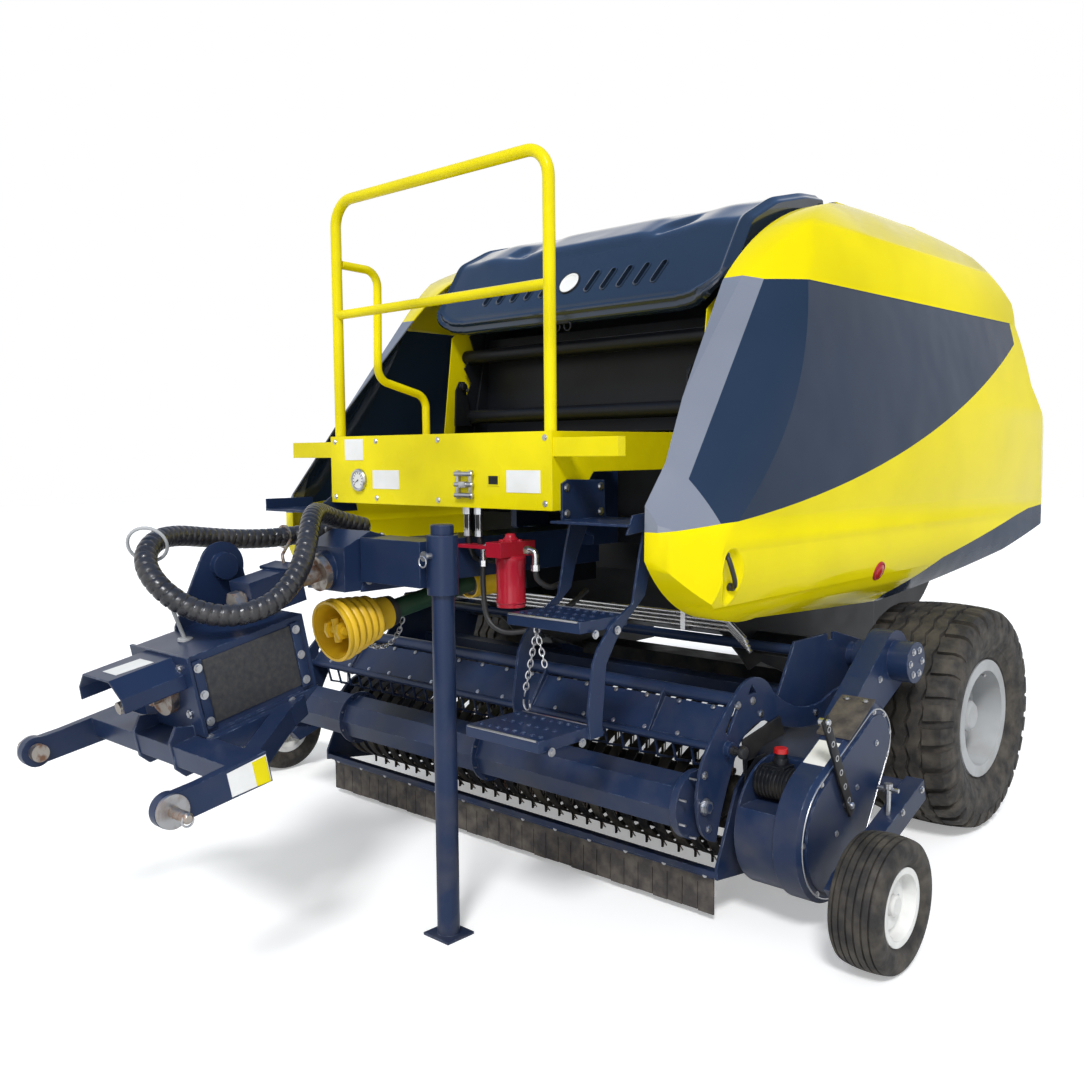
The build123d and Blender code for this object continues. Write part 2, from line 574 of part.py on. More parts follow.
FILTER_X = 330.0
FILTER_Y = -1640.0
with BuildPart() as oil_filter:
    disc(plan(970), (FILTER_X, FILTER_Y), 48, 172)
    block(plan(1140), (FILTER_X, FILTER_Y), (70, 164), 50)
    block(side(BAR_X), (FILTER_Y, 1165), (60, 12), FILTER_X - BAR_X)
save(oil_filter, "oil_filter")

# Pickup
REEL_Y = -1200.0
REEL_Z = 320.0
REEL_R = 225.0                # tine tips
REEL_CORE = 90.0
REEL_SHAFT_R = 20.0
BAND_R = 180.0
BAND_W = 40.0
BAND_PITCH = 70.0
BAND_COUNT = 28
GUARD_Y = -600.0
GUARD_Z = 610.0
PICK_X = 1020.0               # outer face of the pickup's side plates
with BuildPart() as pickup_frame:
    for x in (PICK_X - PLATE, -PICK_X):
        slab(side(x), ((-1440, 150), (-1440, 190), (-1330, 420), (-1160, 560), (-980, 840), (-760, 840),
                       (-760, 815), (-715, 815), (-715, 840), (-700, 840),
                       (-520, 790), (-520, 690), (-560, 570), (-650, 560), (-750, 540), (-745, 380),
                       (-800, 350), (-960, 200),
                       (-1150, 110)), PLATE)
    block(side(-PICK_X), (-830, 600), (80, 80), 2 * PICK_X)
    disc(side(-PICK_X + PLATE / 2), (-943, 803), 18, 2 * PICK_X - PLATE)
    for x in (942, -PICK_X - 30):
        disc(side(x), (LIFT_Y, LIFT_Z), LIFT_PIN_R + 20, PICK_X + 30 - 942)
    for x in (940, -1046):
        disc(side(x), (LIFT_Y, LIFT_Z), LIFT_PIN_R + FIT, 106, Mode.SUBTRACT)
    for x in (PICK_X, -PICK_X - 40):
        disc(side(x), (GUARD_Y, GUARD_Z), 10, 40)
    for x in (PICK_X - PLATE, -PICK_X):
        disc(side(x), (REEL_Y, REEL_Z), REEL_SHAFT_R + FIT, PLATE, Mode.SUBTRACT)
    block(side(-PICK_X + PLATE), (-1425, 165), (30, 20), 2 * (PICK_X - PLATE))
    disc(side(-PICK_X - 16), (REEL_Y, REEL_Z), 185, 16)
save(pickup_frame, "pickup_frame")

with BuildPart() as reel:
    disc(side(-PICK_X + PLATE + GAP), (REEL_Y, REEL_Z), REEL_CORE, 2 * (PICK_X - PLATE - GAP))
    disc(side(-PICK_X + 1), (REEL_Y, REEL_Z), REEL_SHAFT_R, 2 * PICK_X - 2)
    with BuildSketch(*[side((i - BAND_COUNT / 2) * BAND_PITCH - 3) for i in range(BAND_COUNT + 1)]):
        with Locations((REEL_Y, REEL_Z)):
            with PolarLocations((REEL_CORE + REEL_R) / 2 - 2, 4):
                Rectangle(REEL_R - REEL_CORE + 4, 8)
    extrude(amount=6)
save(reel, "reel")

with BuildPart() as bands:
    band_planes = [side((i + 0.5 - BAND_COUNT / 2) * BAND_PITCH - BAND_W / 2)
                   for i in range(BAND_COUNT)]
    with BuildSketch(*band_planes):
        with BuildLine():
            ThreePointArc((REEL_Y + 60, REEL_Z - BAND_R + 10), (REEL_Y - BAND_R, REEL_Z),
                          (REEL_Y + 40, REEL_Z + BAND_R))
            Line((REEL_Y + 40, REEL_Z + BAND_R), (-875, 586))
            offset(amount=3)
        make_face()
    extrude(amount=BAND_W)
    block(side(-PICK_X + PLATE), (REEL_Y + 66, REEL_Z - BAND_R + 8), (24, 24),
          2 * (PICK_X - PLATE))
save(bands, "bands")

# Crop guard with its press roller, on the pickup
GUARD_X = PICK_X + 25
ROLLER_Y = -1562.0
ROLLER_Z = 425.0
ROLLER_R = 88.0
RING_R = 104.0
ROLLER_PIN_R = 12.0
BEAM_Y = -1375.0              # cross tube of the crop guard
BEAM_Z = 712.0
LIP_Y = -1477.0
LIP_Z = 582.0
with BuildPart() as crop_guard:
    for x in (GUARD_X, -GUARD_X - PLATE):
        with BuildSketch(side(x)) as arm:
            with BuildLine():
                ThreePointArc((-1178, 710), (-1269, 770), (-1383, 745))
                ThreePointArc((-1383, 745), (-1475, 668), (-1548, 592))
                ThreePointArc((-1548, 592), (-1588, 520), (-1597, 408))
                ThreePointArc((-1597, 408), (-1564, 335), (-1500, 299))
                ThreePointArc((-1500, 299), (-1457, 419), (-1373, 574))
                ThreePointArc((-1373, 574), (-1300, 617), (-1222, 623))
                ThreePointArc((-1222, 623), (-1000, 556), (-600, 575))
                Line((-600, 575), (-600, 645))
                ThreePointArc((-600, 645), (-740, 647), (-844, 621))
                ThreePointArc((-844, 621), (-1020, 632), (-1178, 710))
            make_face()
            with Locations((-1414, 665)):
                SlotOverall(111, 24, rotation=55, mode=Mode.SUBTRACT)
            with Locations((GUARD_Y, GUARD_Z)):
                Circle(35)
        extrude(arm.sketch, amount=PLATE)
        slab(side(x), ((-1325, 722), (-1278, 722), (-1304, 755)), PLATE, Mode.SUBTRACT)
    for x in (GUARD_X + PLATE, -GUARD_X - PLATE - 18):
        disc(side(x), (-1441, 574), 25, 18)
    for x in (GUARD_X, -GUARD_X - PLATE):
        disc(side(x), (GUARD_Y, GUARD_Z), 10 + FIT, PLATE, Mode.SUBTRACT)
        disc(side(x), (ROLLER_Y, ROLLER_Z), ROLLER_PIN_R + FIT, PLATE, Mode.SUBTRACT)
    disc(side(-GUARD_X), (BEAM_Y, BEAM_Z), 22, 2 * GUARD_X)
    disc(side(-GUARD_X), (LIP_Y, LIP_Z), 13, 2 * GUARD_X)
    slab(side(-GUARD_X), ((-1392, 690), (LIP_Y + 4, LIP_Z + 8), (LIP_Y + 8, LIP_Z + 5), (-1388, 687)),
         2 * GUARD_X)
    for x in (-784, -264, 256, 776):
        slab(side(x), ((BEAM_Y + 8, BEAM_Z + 20), (BEAM_Y - 20, BEAM_Z + 8), (LIP_Y - 8, LIP_Z + 8),
                       (LIP_Y, LIP_Z - 8), (BEAM_Y - 6, BEAM_Z - 60)), 8)
    tine_planes = [side((i + 0.5 - BAND_COUNT / 2) * BAND_PITCH - 3) for i in range(BAND_COUNT)]
    with BuildSketch(*tine_planes) as combs:
        with BuildLine():
            Polyline((LIP_Y - 3, LIP_Z - 4), (-1462, 510), (-1378, 486), (-1378, 493), (-1456, 516),
                     (LIP_Y + 4, LIP_Z - 4), close=True)
        make_face()
    extrude(combs.sketch, amount=6)
save(crop_guard, "crop_guard")

with BuildPart() as press_roller:
    with BuildSketch(side(-GUARD_X + 20)) as drum:
        with Locations((ROLLER_Y, ROLLER_Z)):
            RegularPolygon(ROLLER_R, 8)
    extrude(amount=2 * GUARD_X - 40)
    for x, w in ((-GUARD_X + 20, 24), (-618, 6), (147, 6), (GUARD_X - 44, 24)):
        disc(side(x), (ROLLER_Y, ROLLER_Z), RING_R, w)
    disc(side(-GUARD_X - PLATE - 20), (ROLLER_Y, ROLLER_Z), ROLLER_PIN_R,
         2 * (GUARD_X + PLATE + 20))
save(press_roller, "press_roller")

# Pickup drive on the left, cam cover on the right, flap and gauge wheel arms
CASE_X = PICK_X + 280
CASE_W = 90.0
CLUTCH_Y = -1290.0
CLUTCH_Z = 452.0
CLUTCH_R = 48.0
with BuildPart() as chain_case:
    for start, rim, thick in ((CASE_X - CASE_W, 0, CASE_W), (CASE_X, -34, 6)):
        with BuildSketch(side(start)) as case:
            with Locations((REEL_Y - 20, REEL_Z - 10)):
                Circle(215 + rim)
            with Locations((-960, 540)):
                Circle(125 + rim)
            make_hull()
        extrude(case.sketch, amount=thick)
        if rim == 0:
            outer = chain_case.faces().sort_by(Axis.X)[-1]
            chamfer(outer.edges(), 12)
    disc(side(PICK_X + 50), (REEL_Y - 20, REEL_Z - 10), 205, CASE_X - CASE_W - PICK_X - 50)
    slab(side(PICK_X + 58), ((-1500, CLUTCH_Z - 60), (CLUTCH_Y + 62, CLUTCH_Z - 60),
                             (CLUTCH_Y + 62, 600), (-1500, 600)), CASE_X - CASE_W - PICK_X - 58,
         Mode.SUBTRACT)
    disc(side(PICK_X), (REEL_Y - 20, REEL_Z - 10), 110, 50)
save(chain_case, "chain_case")

with BuildPart() as drive_arm:
    with BuildSketch(side(PICK_X + 90)):
        with Locations((LIFT_Y, LIFT_Z)):
            Circle(105)
        with Locations((-880, 560)):
            Circle(70)
        make_hull()
    extrude(amount=80)
    disc(side(PICK_X + 30), (LIFT_Y, LIFT_Z), 60, 60)
    disc(side(PICK_X + 170), (LIFT_Y, LIFT_Z), 72, 75)
save(drive_arm, "drive_arm")

with BuildPart() as drive_clutch:
    disc(side(PICK_X + 60), (CLUTCH_Y, CLUTCH_Z), CLUTCH_R, CASE_X - CASE_W - PICK_X - 60.3)
    block(plan(CLUTCH_Z + 30), (PICK_X + 120, CLUTCH_Y + 10), (70, 64), 26)
    disc(plan(CLUTCH_Z + 50), (PICK_X + 120, CLUTCH_Y + 20), 20, 40)
save(drive_clutch, "drive_clutch")

with BuildPart() as crop_flap:
    block(side(-PICK_X + 30), (-1414, 89), (6, 132), 2 * PICK_X - 60)
save(crop_flap, "crop_flap")

ARM_X = 1356.0
for name, s in SIDES:
    with BuildPart() as gauge_arm:
        start = ARM_X if s > 0 else -ARM_X - 60
        slab(side(start), ((-828, 346), (-846, 416), (-1340, 235), (-1390, 200), (-1349, 155),
                           (-1320, 165)), 60)
        inner = PICK_X if s > 0 else -ARM_X
        disc(side(inner), (-858, 378), 26, ARM_X - PICK_X)
        turned((0, GAUGE_Y, GAUGE_R), s, ((ARM_X + 55, 0), (ARM_X + 55, 20), (ARM_X + 75, 20),
                                          (ARM_X + 75, GAUGE_SPINDLE_R),
                                          (GAUGE_X + GAUGE_HUB_OUT - 8, GAUGE_SPINDLE_R),
                                          (GAUGE_X + GAUGE_HUB_OUT - 8, 0)))
    save(gauge_arm, f"gauge_arm_{name}")

# Side doors: one bulged shell a side, cut into its painted pieces
DOOR_TOP_X = 800.0
DOOR_LOW_X = 905.0
DOOR_WALL = 5.0
NOSE_FOOT = -1590 - (1440 - 700) * 490 / 605    # the pillar's slope, carried down to z 700


def door_form(inset, opening):
    """The door's outer form, or with an inset its hollow, which runs out past the inner face."""
    inner = DOOR_TOP_X - opening
    with BuildPart(mode=Mode.PRIVATE) as form:
        with BuildSketch(front(1500)) as cross:
            with BuildLine():
                Polyline((DOOR_LOW_X - opening, 880), (DOOR_LOW_X - opening, 1450), (inner, 2050),
                         (inner, 2430), (DOOR_TOP_X + 4, 2430))
                ThreePointArc((DOOR_TOP_X + 4, 2430), (960, 2290), (1030, 2040))
                ThreePointArc((1030, 2040), (1100, 1600), (1080, 1180))
                ThreePointArc((1080, 1180), (1030, 970), (930, 880))
                Line((930, 880), (DOOR_LOW_X - opening, 880))
            make_face()
            offset(amount=-inset)
        extrude(cross.sketch, amount=3300)
        with BuildSketch(side(700)) as outline:
            with BuildLine():
                Polyline((-1660, 1160), (-1655, 1380), (-1590, 1440), (-1100, 2045))
                ThreePointArc((-1100, 2045), (-840, 2255), (-500, 2385))
                ThreePointArc((-500, 2385), (100, 2418), (660, 2322))
                Polyline((660, 2322), (905, 2135), (960, 1960), (1010, 1770), (1130, 1640))
                ThreePointArc((1130, 1640), (1198, 1570), (1190, 1480))
                ThreePointArc((1190, 1480), (1252, 1400), (1215, 1300))
                Polyline((1215, 1300), (1345, 1215), (1310, 1150), (760, 1030), (-240, 895),
                         (-1220, 950))
                ThreePointArc((-1220, 950), (-1510, 1010), (-1660, 1160))
            make_face()
            offset(amount=-inset)
        extrude(outline.sketch, amount=500, mode=Mode.INTERSECT)
        with BuildSketch(plan(800)) as top:
            with BuildLine():
                Polyline((700, 1450), (700, -1700), (880, -1700))
                ThreePointArc((880, -1700), (1050, -1560), (1120, -1250))
                Line((1120, -1250), (1120, 900))
                ThreePointArc((1120, 900), (1080, 1200), (980, 1450))
                Line((980, 1450), (700, 1450))
            make_face()
            offset(amount=-inset if inset else 0.001)
        extrude(top.sketch, amount=1800, mode=Mode.INTERSECT)
        with BuildSketch(plan(700)) as nose:
            with BuildLine():
                Polyline((870, NOSE_FOOT), (600, NOSE_FOOT), (600, 3600), (1140, 3600),
                         (1140, NOSE_FOOT + 620))
                ThreePointArc((1140, NOSE_FOOT + 620), (1045, NOSE_FOOT + 190), (870, NOSE_FOOT))
            make_face()
            offset(amount=-inset if inset else 0.001)
        extrude(nose.sketch, amount=2300, dir=(0, 490, 605), mode=Mode.INTERSECT)
    return form.part


def side_zone(*edges):
    """A region of the side view, through the whole door."""
    with BuildPart(mode=Mode.PRIVATE) as zone:
        with BuildSketch(side(700)) as area:
            with BuildLine():
                for edge in edges:
                    if len(edge) == 3 and edge[0] != "line":
                        ThreePointArc(*edge)
                    else:
                        Polyline(*edge[1:])
            make_face()
        extrude(area.sketch, amount=500)
    return zone.part


shell = door_form(0, 0) - door_form(DOOR_WALL, 60)
glass_zone = side_zone(("line", (-1050, 2045), (870, 2045), (870, 1950)),
                       ((870, 1950), (-300, 1490), (-1500, 1268)),
                       ("line", (-1500, 1268), (-1530, 1400), (-1050, 2045)))
pillar_zone = side_zone(("line", (-1500, 1268), (-1700, 1240), (-1700, 1500), (-1200, 2100),
                         (-1050, 2045), (-1530, 1400), (-1500, 1268)))
skirt_zone = side_zone(("line", (-276, 870), (760, 980), (1450, 1140), (1450, 1235), (1016, 1205),
                        (97, 1045), (-276, 925), (-276, 870)))

for name, s in SIDES:
    for part, solid in (("door_glass", shell & glass_zone), ("door_pillar", shell & pillar_zone),
                        ("door_skirt", shell & skirt_zone)):
        with BuildPart() as piece:
            add(solid if s > 0 else mirror(solid, about=Plane.YZ, mode=Mode.PRIVATE))
        save(piece, f"{part}_{name}")
    with BuildPart() as door:
        add(shell - glass_zone - pillar_zone - skirt_zone)
        for y in (-250, 350):
            disc(front(y), (DOOR_HINGE_X, DOOR_HINGE_Z), 15, 60)
            block(front(y), (DOOR_HINGE_X + 12, DOOR_HINGE_Z - 4), (24, 18), 60)
        for y in (-250, 350):
            disc(front(y), (DOOR_HINGE_X, DOOR_HINGE_Z), 8 + FIT, 60, Mode.SUBTRACT)
        if s < 0:
            add(mirror(door.part, about=Plane.YZ, mode=Mode.PRIVATE), mode=Mode.REPLACE)
    save(door, f"door_{name}")

LAMP_Z = 1080.0
LAMP_DEEP = 35.0
BAR_Y = REAR_REACH - LAMP_DEEP - 100
with BuildPart() as lamp_bar:
    block(side(-700), (BAR_Y, LAMP_Z), (40, 60), 1400)
    for x in (-500, 440):
        slab(side(x), ((1166, LAMP_Z - 30), (1174, LAMP_Z + 30), (BAR_Y, LAMP_Z + 30),
                       (BAR_Y, LAMP_Z - 30)), 60)
    for x in (-750, 650):
        block(side(x), (BAR_Y + 50, LAMP_Z), (100, 90), 100)
save(lamp_bar, "lamp_bar")
with BuildPart() as tail_lamps:
    for x in (-745, 655):
        block(side(x), (BAR_Y + 100 + LAMP_DEEP / 2, LAMP_Z), (LAMP_DEEP, 80), 90)
save(tail_lamps, "tail_lamps")

PIPE_R = 8.0
PIPE_PITCH = 17.0
PIPE_Y = -1040.0
PIPE_Z = 908.0
with BuildPart() as pipes:
    for i in range(4):
        y = PIPE_Y + 12 * i
        z = PIPE_Z - PIPE_PITCH * i
        tube_path(((-700, y, z), (780, y, z), (862, y, z - 68)), PIPE_R, 24)
    for x in (-WALL_X, WALL_X - 20):
        slab(side(x), ((-1054, 846), (-1054, 926), (-900, 926), (-900, 900), (-975, 896), (-986, 846)), 20)
save(pipes, "pipes")

# Hoses in a spiral sleeve, looped forward over the headstock and back
HOSE_R = 32.0
HOSE = ((-140, -1880, 1232), (-140, -2000, 1262), (-90, -2110, 1300), (20, -2212, 1290),
        (110, -2290, 1222), (168, -2360, 1140), (184, -2450, 1062), (160, -2545, 1030),
        (110, -2630, 1034), (45, -2700, 1080), (-25, -2732, 1146), (-95, -2710, 1200),
        (-155, -2640, 1238), (-205, -2545, 1242), (-238, -2430, 1226), (-258, -2310, 1212),
        (-262, -2190, 1206), (-246, -2075, 1212), (-216, -1970, 1222), (-190, -1870, 1232))


def corner_radii(points, share=0.45):
    """Largest tangent arc at each inner point: a share of its shorter run."""
    radii = []
    for a, b, c in zip(points, points[1:], points[2:]):
        before = Vector(*b) - Vector(*a)
        after = Vector(*c) - Vector(*b)
        half_turn = math.radians(before.get_angle(after)) / 2
        radii.append(share * min(before.length, after.length) / math.tan(half_turn))
    return radii


with BuildPart() as hose_bundle:
    with BuildLine() as route:
        FilletPolyline(*[(x, AXLE_Y + y, z) for x, y, z in HOSE], radius=corner_radii(HOSE))
    with BuildSketch(Plane(origin=route.line @ 0, z_dir=route.line % 0)) as section:
        Circle(HOSE_R)
    sweep(section.sketch, path=route.line)
save(hose_bundle, "hose_bundle")
hose_length = sum(edge.length for edge in route.edges())
print("hose length", round(hose_length), "by volume",
      round(hose_bundle.part.volume / (math.pi * HOSE_R ** 2)), "radii",
      [round(r) for r in corner_radii(HOSE)])

RING_X, RING_Y, RING_Z = [(a + b) / 2 for a, b in zip(HOSE[16], HOSE[17])]


def head_point(x, along, rise):
    """A point of the tilted headstock's frame, as (x, behind the axle, z)."""
    return (x, KING_Y + COS * along - SIN * rise, KING_Z + SIN * along + COS * rise)


with BuildPart() as hose_guide:
    with BuildSketch(front(RING_Y + 3)) as eye:
        with Locations((RING_X, RING_Z)):
            Circle(HOSE_R + 8)
            Circle(HOSE_R + 0.9, mode=Mode.SUBTRACT)
    extrude(eye.sketch, amount=6)
    tube_path((head_point(-10, 118, SLEEVE / 2 + 9), head_point(-10, 118, SLEEVE / 2 + 34),
               (RING_X + HOSE_R + 4, RING_Y, RING_Z - 10)), 5, 12)
save(hose_guide, "hose_guide")
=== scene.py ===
"""Round baler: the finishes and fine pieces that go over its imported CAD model, as a lesson in cells."""
# %% [markdown]
# The baler's frame, sheet metal and joints already exist as a CAD model in metres: +Z is up, -Y is
# forward, and the machine's left is +X. This lesson adds what a camera sees: paint, rubber, plastic,
# tread, hoses and small hardware. Its pieces are placed as on a workshop drawing, in millimetres from
# the ground under the axle, and where a piece must lie on a curved panel, a cast ray finds the panel.

# %% Frame
import math

import bmesh
import bpy
from mathutils import Matrix, Vector


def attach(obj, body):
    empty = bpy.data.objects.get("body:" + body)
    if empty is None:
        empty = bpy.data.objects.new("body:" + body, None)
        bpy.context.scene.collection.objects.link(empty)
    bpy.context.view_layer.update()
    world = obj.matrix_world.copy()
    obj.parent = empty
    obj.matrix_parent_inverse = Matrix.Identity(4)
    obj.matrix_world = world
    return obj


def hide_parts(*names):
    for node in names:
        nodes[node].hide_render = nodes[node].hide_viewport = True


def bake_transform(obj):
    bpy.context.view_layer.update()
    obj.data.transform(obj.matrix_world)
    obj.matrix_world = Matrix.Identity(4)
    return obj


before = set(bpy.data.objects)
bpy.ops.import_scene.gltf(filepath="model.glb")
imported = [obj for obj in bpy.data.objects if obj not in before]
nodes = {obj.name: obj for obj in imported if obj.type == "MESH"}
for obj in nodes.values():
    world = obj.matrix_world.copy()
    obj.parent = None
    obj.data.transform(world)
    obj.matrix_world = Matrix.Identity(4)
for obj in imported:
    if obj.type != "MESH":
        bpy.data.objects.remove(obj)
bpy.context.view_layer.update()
AXLE_Y = 0.765                     # how far the axle stands behind the frame's origin, in metres
SIDES = (("left", 1), ("right", -1))

# %% [markdown]
# The photograph was taken from the front left at the height of a person's eyes. The camera's axes are
# written as three unit vectors, which is easier to correct than three angles. The lens is such that the
# picture takes in a width about equal to the distance.

# %% Camera
CAMERA_RIGHT = Vector((0.73090, 0.68243, -0.00908))
CAMERA_UP = Vector((-0.04989, 0.06668, 0.99653))
CAMERA_BACK = Vector((0.68067, -0.72790, 0.08278))
CAMERA_AT = Vector((2.857, -4.189 + AXLE_Y, 1.484))
SENSOR = 36.0
FOCAL_SHARE = 1080.5 / 1084        # focal length as a share of the picture's width

camera_data = bpy.data.cameras.new("camera")
camera_data.sensor_width = SENSOR
camera_data.lens = SENSOR * FOCAL_SHARE
camera = bpy.data.objects.new("camera", camera_data)
bpy.context.scene.collection.objects.link(camera)
axes = Matrix((CAMERA_RIGHT, CAMERA_UP, CAMERA_BACK)).transposed()
camera.matrix_world = Matrix.Translation(CAMERA_AT) @ axes.to_4x4()
bpy.context.scene.camera = camera
bpy.context.scene.view_settings.view_transform = "Standard"
print("lens", round(camera_data.lens, 2), "mm")


# %% Lamps
def add_light(name, kind, energy, place, aim, **settings):
    """A lamp at a place, turned towards a point."""
    data = bpy.data.lights.new(name, kind)
    data.energy = energy
    for key, value in settings.items():
        setattr(data, key, value)
    lamp = bpy.data.objects.new(name, data)
    bpy.context.scene.collection.objects.link(lamp)
    lamp.location = place
    lamp.rotation_euler = (Vector(aim) - Vector(place)).to_track_quat("-Z", "Y").to_euler()


add_light("sun", "SUN", 2.3, (3.5, -5.0, 7.0), (0, 0, 0.8), angle=math.radians(12))
add_light("fill", "AREA", 60, (4.5, -6.5, 2.2), (0, -0.6, 1.0), size=3.5)

# %% [markdown]
# A material or a world is a tree of nodes. Most of its lines would only make a node, set a value or draw
# a link, so one helper does all three: an input that is given a socket is linked to it, and an input that
# is given anything else takes it as its value.


# %% Nodes
def add_node(tree, kind, inputs=None, **settings):
    """A node with its settings, and with its inputs linked to sockets or set to values."""
    made = tree.nodes.new(kind)
    for key, value in settings.items():
        setattr(made, key, value)
    for key, value in (inputs or {}).items():
        if isinstance(value, bpy.types.NodeSocket):
            tree.links.new(value, made.inputs[key])
        else:
            made.inputs[key].default_value = value
    return made


def arithmetic(tree, kind, first, second):
    """One sum on two sockets or numbers."""
    return add_node(tree, "ShaderNodeMath", {0: first, 1: second}, operation=kind).outputs[0]


# %% [markdown]
# The white surroundings are white only to the camera, to reflections and through glass. Overhead they
# turn sky blue, which the upward panels mirror. Diffuse light comes from an even pale world and the sun.

# %% World
SKY_WHITE_BELOW = 0.42             # heights on a unit sphere between which white turns to blue
SKY_BLUE_ABOVE = 0.70
SKY_BLUE = (0.16, 0.30, 0.62, 1)
SOFT_LIGHT = (0.90, 0.95, 1.0, 1)
SOFT_STRENGTH = 0.62

world = bpy.data.worlds.new("studio")
bpy.context.scene.world = world
world.use_nodes = True
sky = world.node_tree
sky.nodes.clear()
direction = add_node(sky, "ShaderNodeTexCoord").outputs["Generated"]
height = add_node(sky, "ShaderNodeSeparateXYZ", {0: direction}).outputs["Z"]
overhead = add_node(sky, "ShaderNodeValToRGB", {0: height})
white_stop, blue_stop = overhead.color_ramp.elements
white_stop.position = SKY_WHITE_BELOW
white_stop.color = (1, 1, 1, 1)
blue_stop.position = SKY_BLUE_ABOVE
blue_stop.color = SKY_BLUE
seen = add_node(sky, "ShaderNodeBackground", {"Color": overhead.outputs[0]})
soft = add_node(sky, "ShaderNodeBackground", {"Color": SOFT_LIGHT, "Strength": SOFT_STRENGTH})
ray = add_node(sky, "ShaderNodeLightPath").outputs
either = arithmetic(sky, "MAXIMUM", ray["Is Camera Ray"], ray["Is Glossy Ray"])
any_of = arithmetic(sky, "MAXIMUM", either, ray["Is Transmission Ray"])
chosen = add_node(sky, "ShaderNodeMixShader", {0: any_of, 1: soft.outputs[0], 2: seen.outputs[0]})
add_node(sky, "ShaderNodeOutputWorld", {0: chosen.outputs[0]})
print("world nodes", len(sky.nodes))

# %% [markdown]
# Each finish is a short function over a few shared steps: a shader with its coordinates, a noise, a
# colour mix, a bump. Object coordinates are used throughout, because every piece of the machine shares
# the one origin, so dust and fading run on from one piece to the next as they do on the real machine.

# %% Shading steps
INPUT_NAMES = {"colour": "Base Color", "rough": "Roughness", "metal": "Metallic",
               "shine": "Specular IOR Level", "coat": "Coat Weight", "coat_rough": "Coat Roughness",
               "glow": "Emission Color", "glow_strength": "Emission Strength"}


def shader(name):
    """A new material, its tree, its Principled shader and its Object coordinates."""
    material = bpy.data.materials.new(name)
    material.use_nodes = True
    tree = material.node_tree
    tree.nodes.clear()
    bsdf = add_node(tree, "ShaderNodeBsdfPrincipled")
    add_node(tree, "ShaderNodeOutputMaterial", {0: bsdf.outputs[0]})
    place = add_node(tree, "ShaderNodeTexCoord").outputs["Object"]
    return material, tree, bsdf, place


def noise(tree, place, scale, detail=4.0):
    """Fractal noise between 0 and 1, its scale in waves a metre."""
    inputs = {"Vector": place, "Scale": scale, "Detail": detail}
    return add_node(tree, "ShaderNodeTexNoise", inputs).outputs[0]


def spread(tree, value, low, high, to_low=0.0, to_high=1.0):
    """A value's range from low to high, mapped and clamped to another."""
    inputs = {"Value": value, "From Min": low, "From Max": high, "To Min": to_low, "To Max": to_high}
    return add_node(tree, "ShaderNodeMapRange", inputs).outputs[0]


def mixed(tree, factor, first, second):
    """A colour between two, each a socket or three numbers."""
    first, second = ((*c, 1) if isinstance(c, tuple) else c for c in (first, second))
    return add_node(tree, "ShaderNodeMix", {0: factor, 6: first, 7: second}, data_type="RGBA").outputs[2]


def bumped(tree, bsdf, height, strength, depth, under=None):
    """Bump from a height socket, over another normal if one is given."""
    inputs = {"Strength": strength, "Distance": depth, "Height": height}
    if under is not None:
        inputs["Normal"] = under
    bump_node = add_node(tree, "ShaderNodeBump", inputs)
    tree.links.new(bump_node.outputs[0], bsdf.inputs["Normal"])


def edges(tree, radius):
    """A rounded normal, and a mask that is 1 where the surface turns an edge of this radius."""
    rounded = add_node(tree, "ShaderNodeBevel", {"Radius": radius}, samples=4).outputs[0]
    flat = add_node(tree, "ShaderNodeNewGeometry").outputs["Normal"]
    facing = add_node(tree, "ShaderNodeVectorMath", {0: rounded, 1: flat}, operation="DOT_PRODUCT")
    return rounded, spread(tree, facing.outputs["Value"], 0.995, 0.90)


def coated(tree, bsdf, **finish):
    """Shader inputs linked to sockets or set to values, by the short names above."""
    for key, value in finish.items():
        socket = bsdf.inputs[INPUT_NAMES[key]]
        if isinstance(value, bpy.types.NodeSocket):
            tree.links.new(value, socket)
        else:
            socket.default_value = value


# %% [markdown]
# Sprayed steel is not one colour. The coat fades in patches, thins on edges where it catches the light,
# and gathers dust low down near the crop. The paint function takes the colour, how glossy the coat is and
# how much of the edge is rubbed; both the navy frame and the yellow sheet metal use it.


# %% Paint
DUST = (0.20, 0.17, 0.13)
DUST_TOP = 0.9                     # dust ends at this height in metres


def paint(name, colour, edge, rough=0.30, rubbed=0.5, dusty=0.25, coat=0.0, grain=0.02, shine=0.2):
    """Sprayed paint: patchy tone, lighter edges, dust towards the ground and orange-peel bump."""
    material, tree, bsdf, place = shader(name)
    darker = tuple(0.72 * c for c in colour)
    tone = mixed(tree, spread(tree, noise(tree, place, 2.2), 0.35, 0.7), colour, darker)
    scuffs = spread(tree, noise(tree, place, 34, 6), 0.50, 0.72)
    normal, edge_mask = edges(tree, 0.004)
    rub = arithmetic(tree, "MULTIPLY", arithmetic(tree, "MULTIPLY", edge_mask, rubbed), scuffs)
    tone = mixed(tree, rub, tone, edge)
    height = add_node(tree, "ShaderNodeSeparateXYZ", {0: place}).outputs["Z"]
    low_down = spread(tree, height, DUST_TOP, 0.0, 0.0, dusty)
    dust = arithmetic(tree, "MULTIPLY", low_down, spread(tree, noise(tree, place, 9, 8), 0.42, 0.68))
    sheen = spread(tree, noise(tree, place, 9, 3), 0.3, 0.75, rough * 0.92, rough * 1.2)
    coated(tree, bsdf, colour=mixed(tree, dust, tone, DUST), rough=arithmetic(tree, "ADD", sheen, dust),
            shine=shine, coat=coat, coat_rough=0.05)
    bumped(tree, bsdf, noise(tree, place, 260, 2), grain, 0.002, normal)
    return material


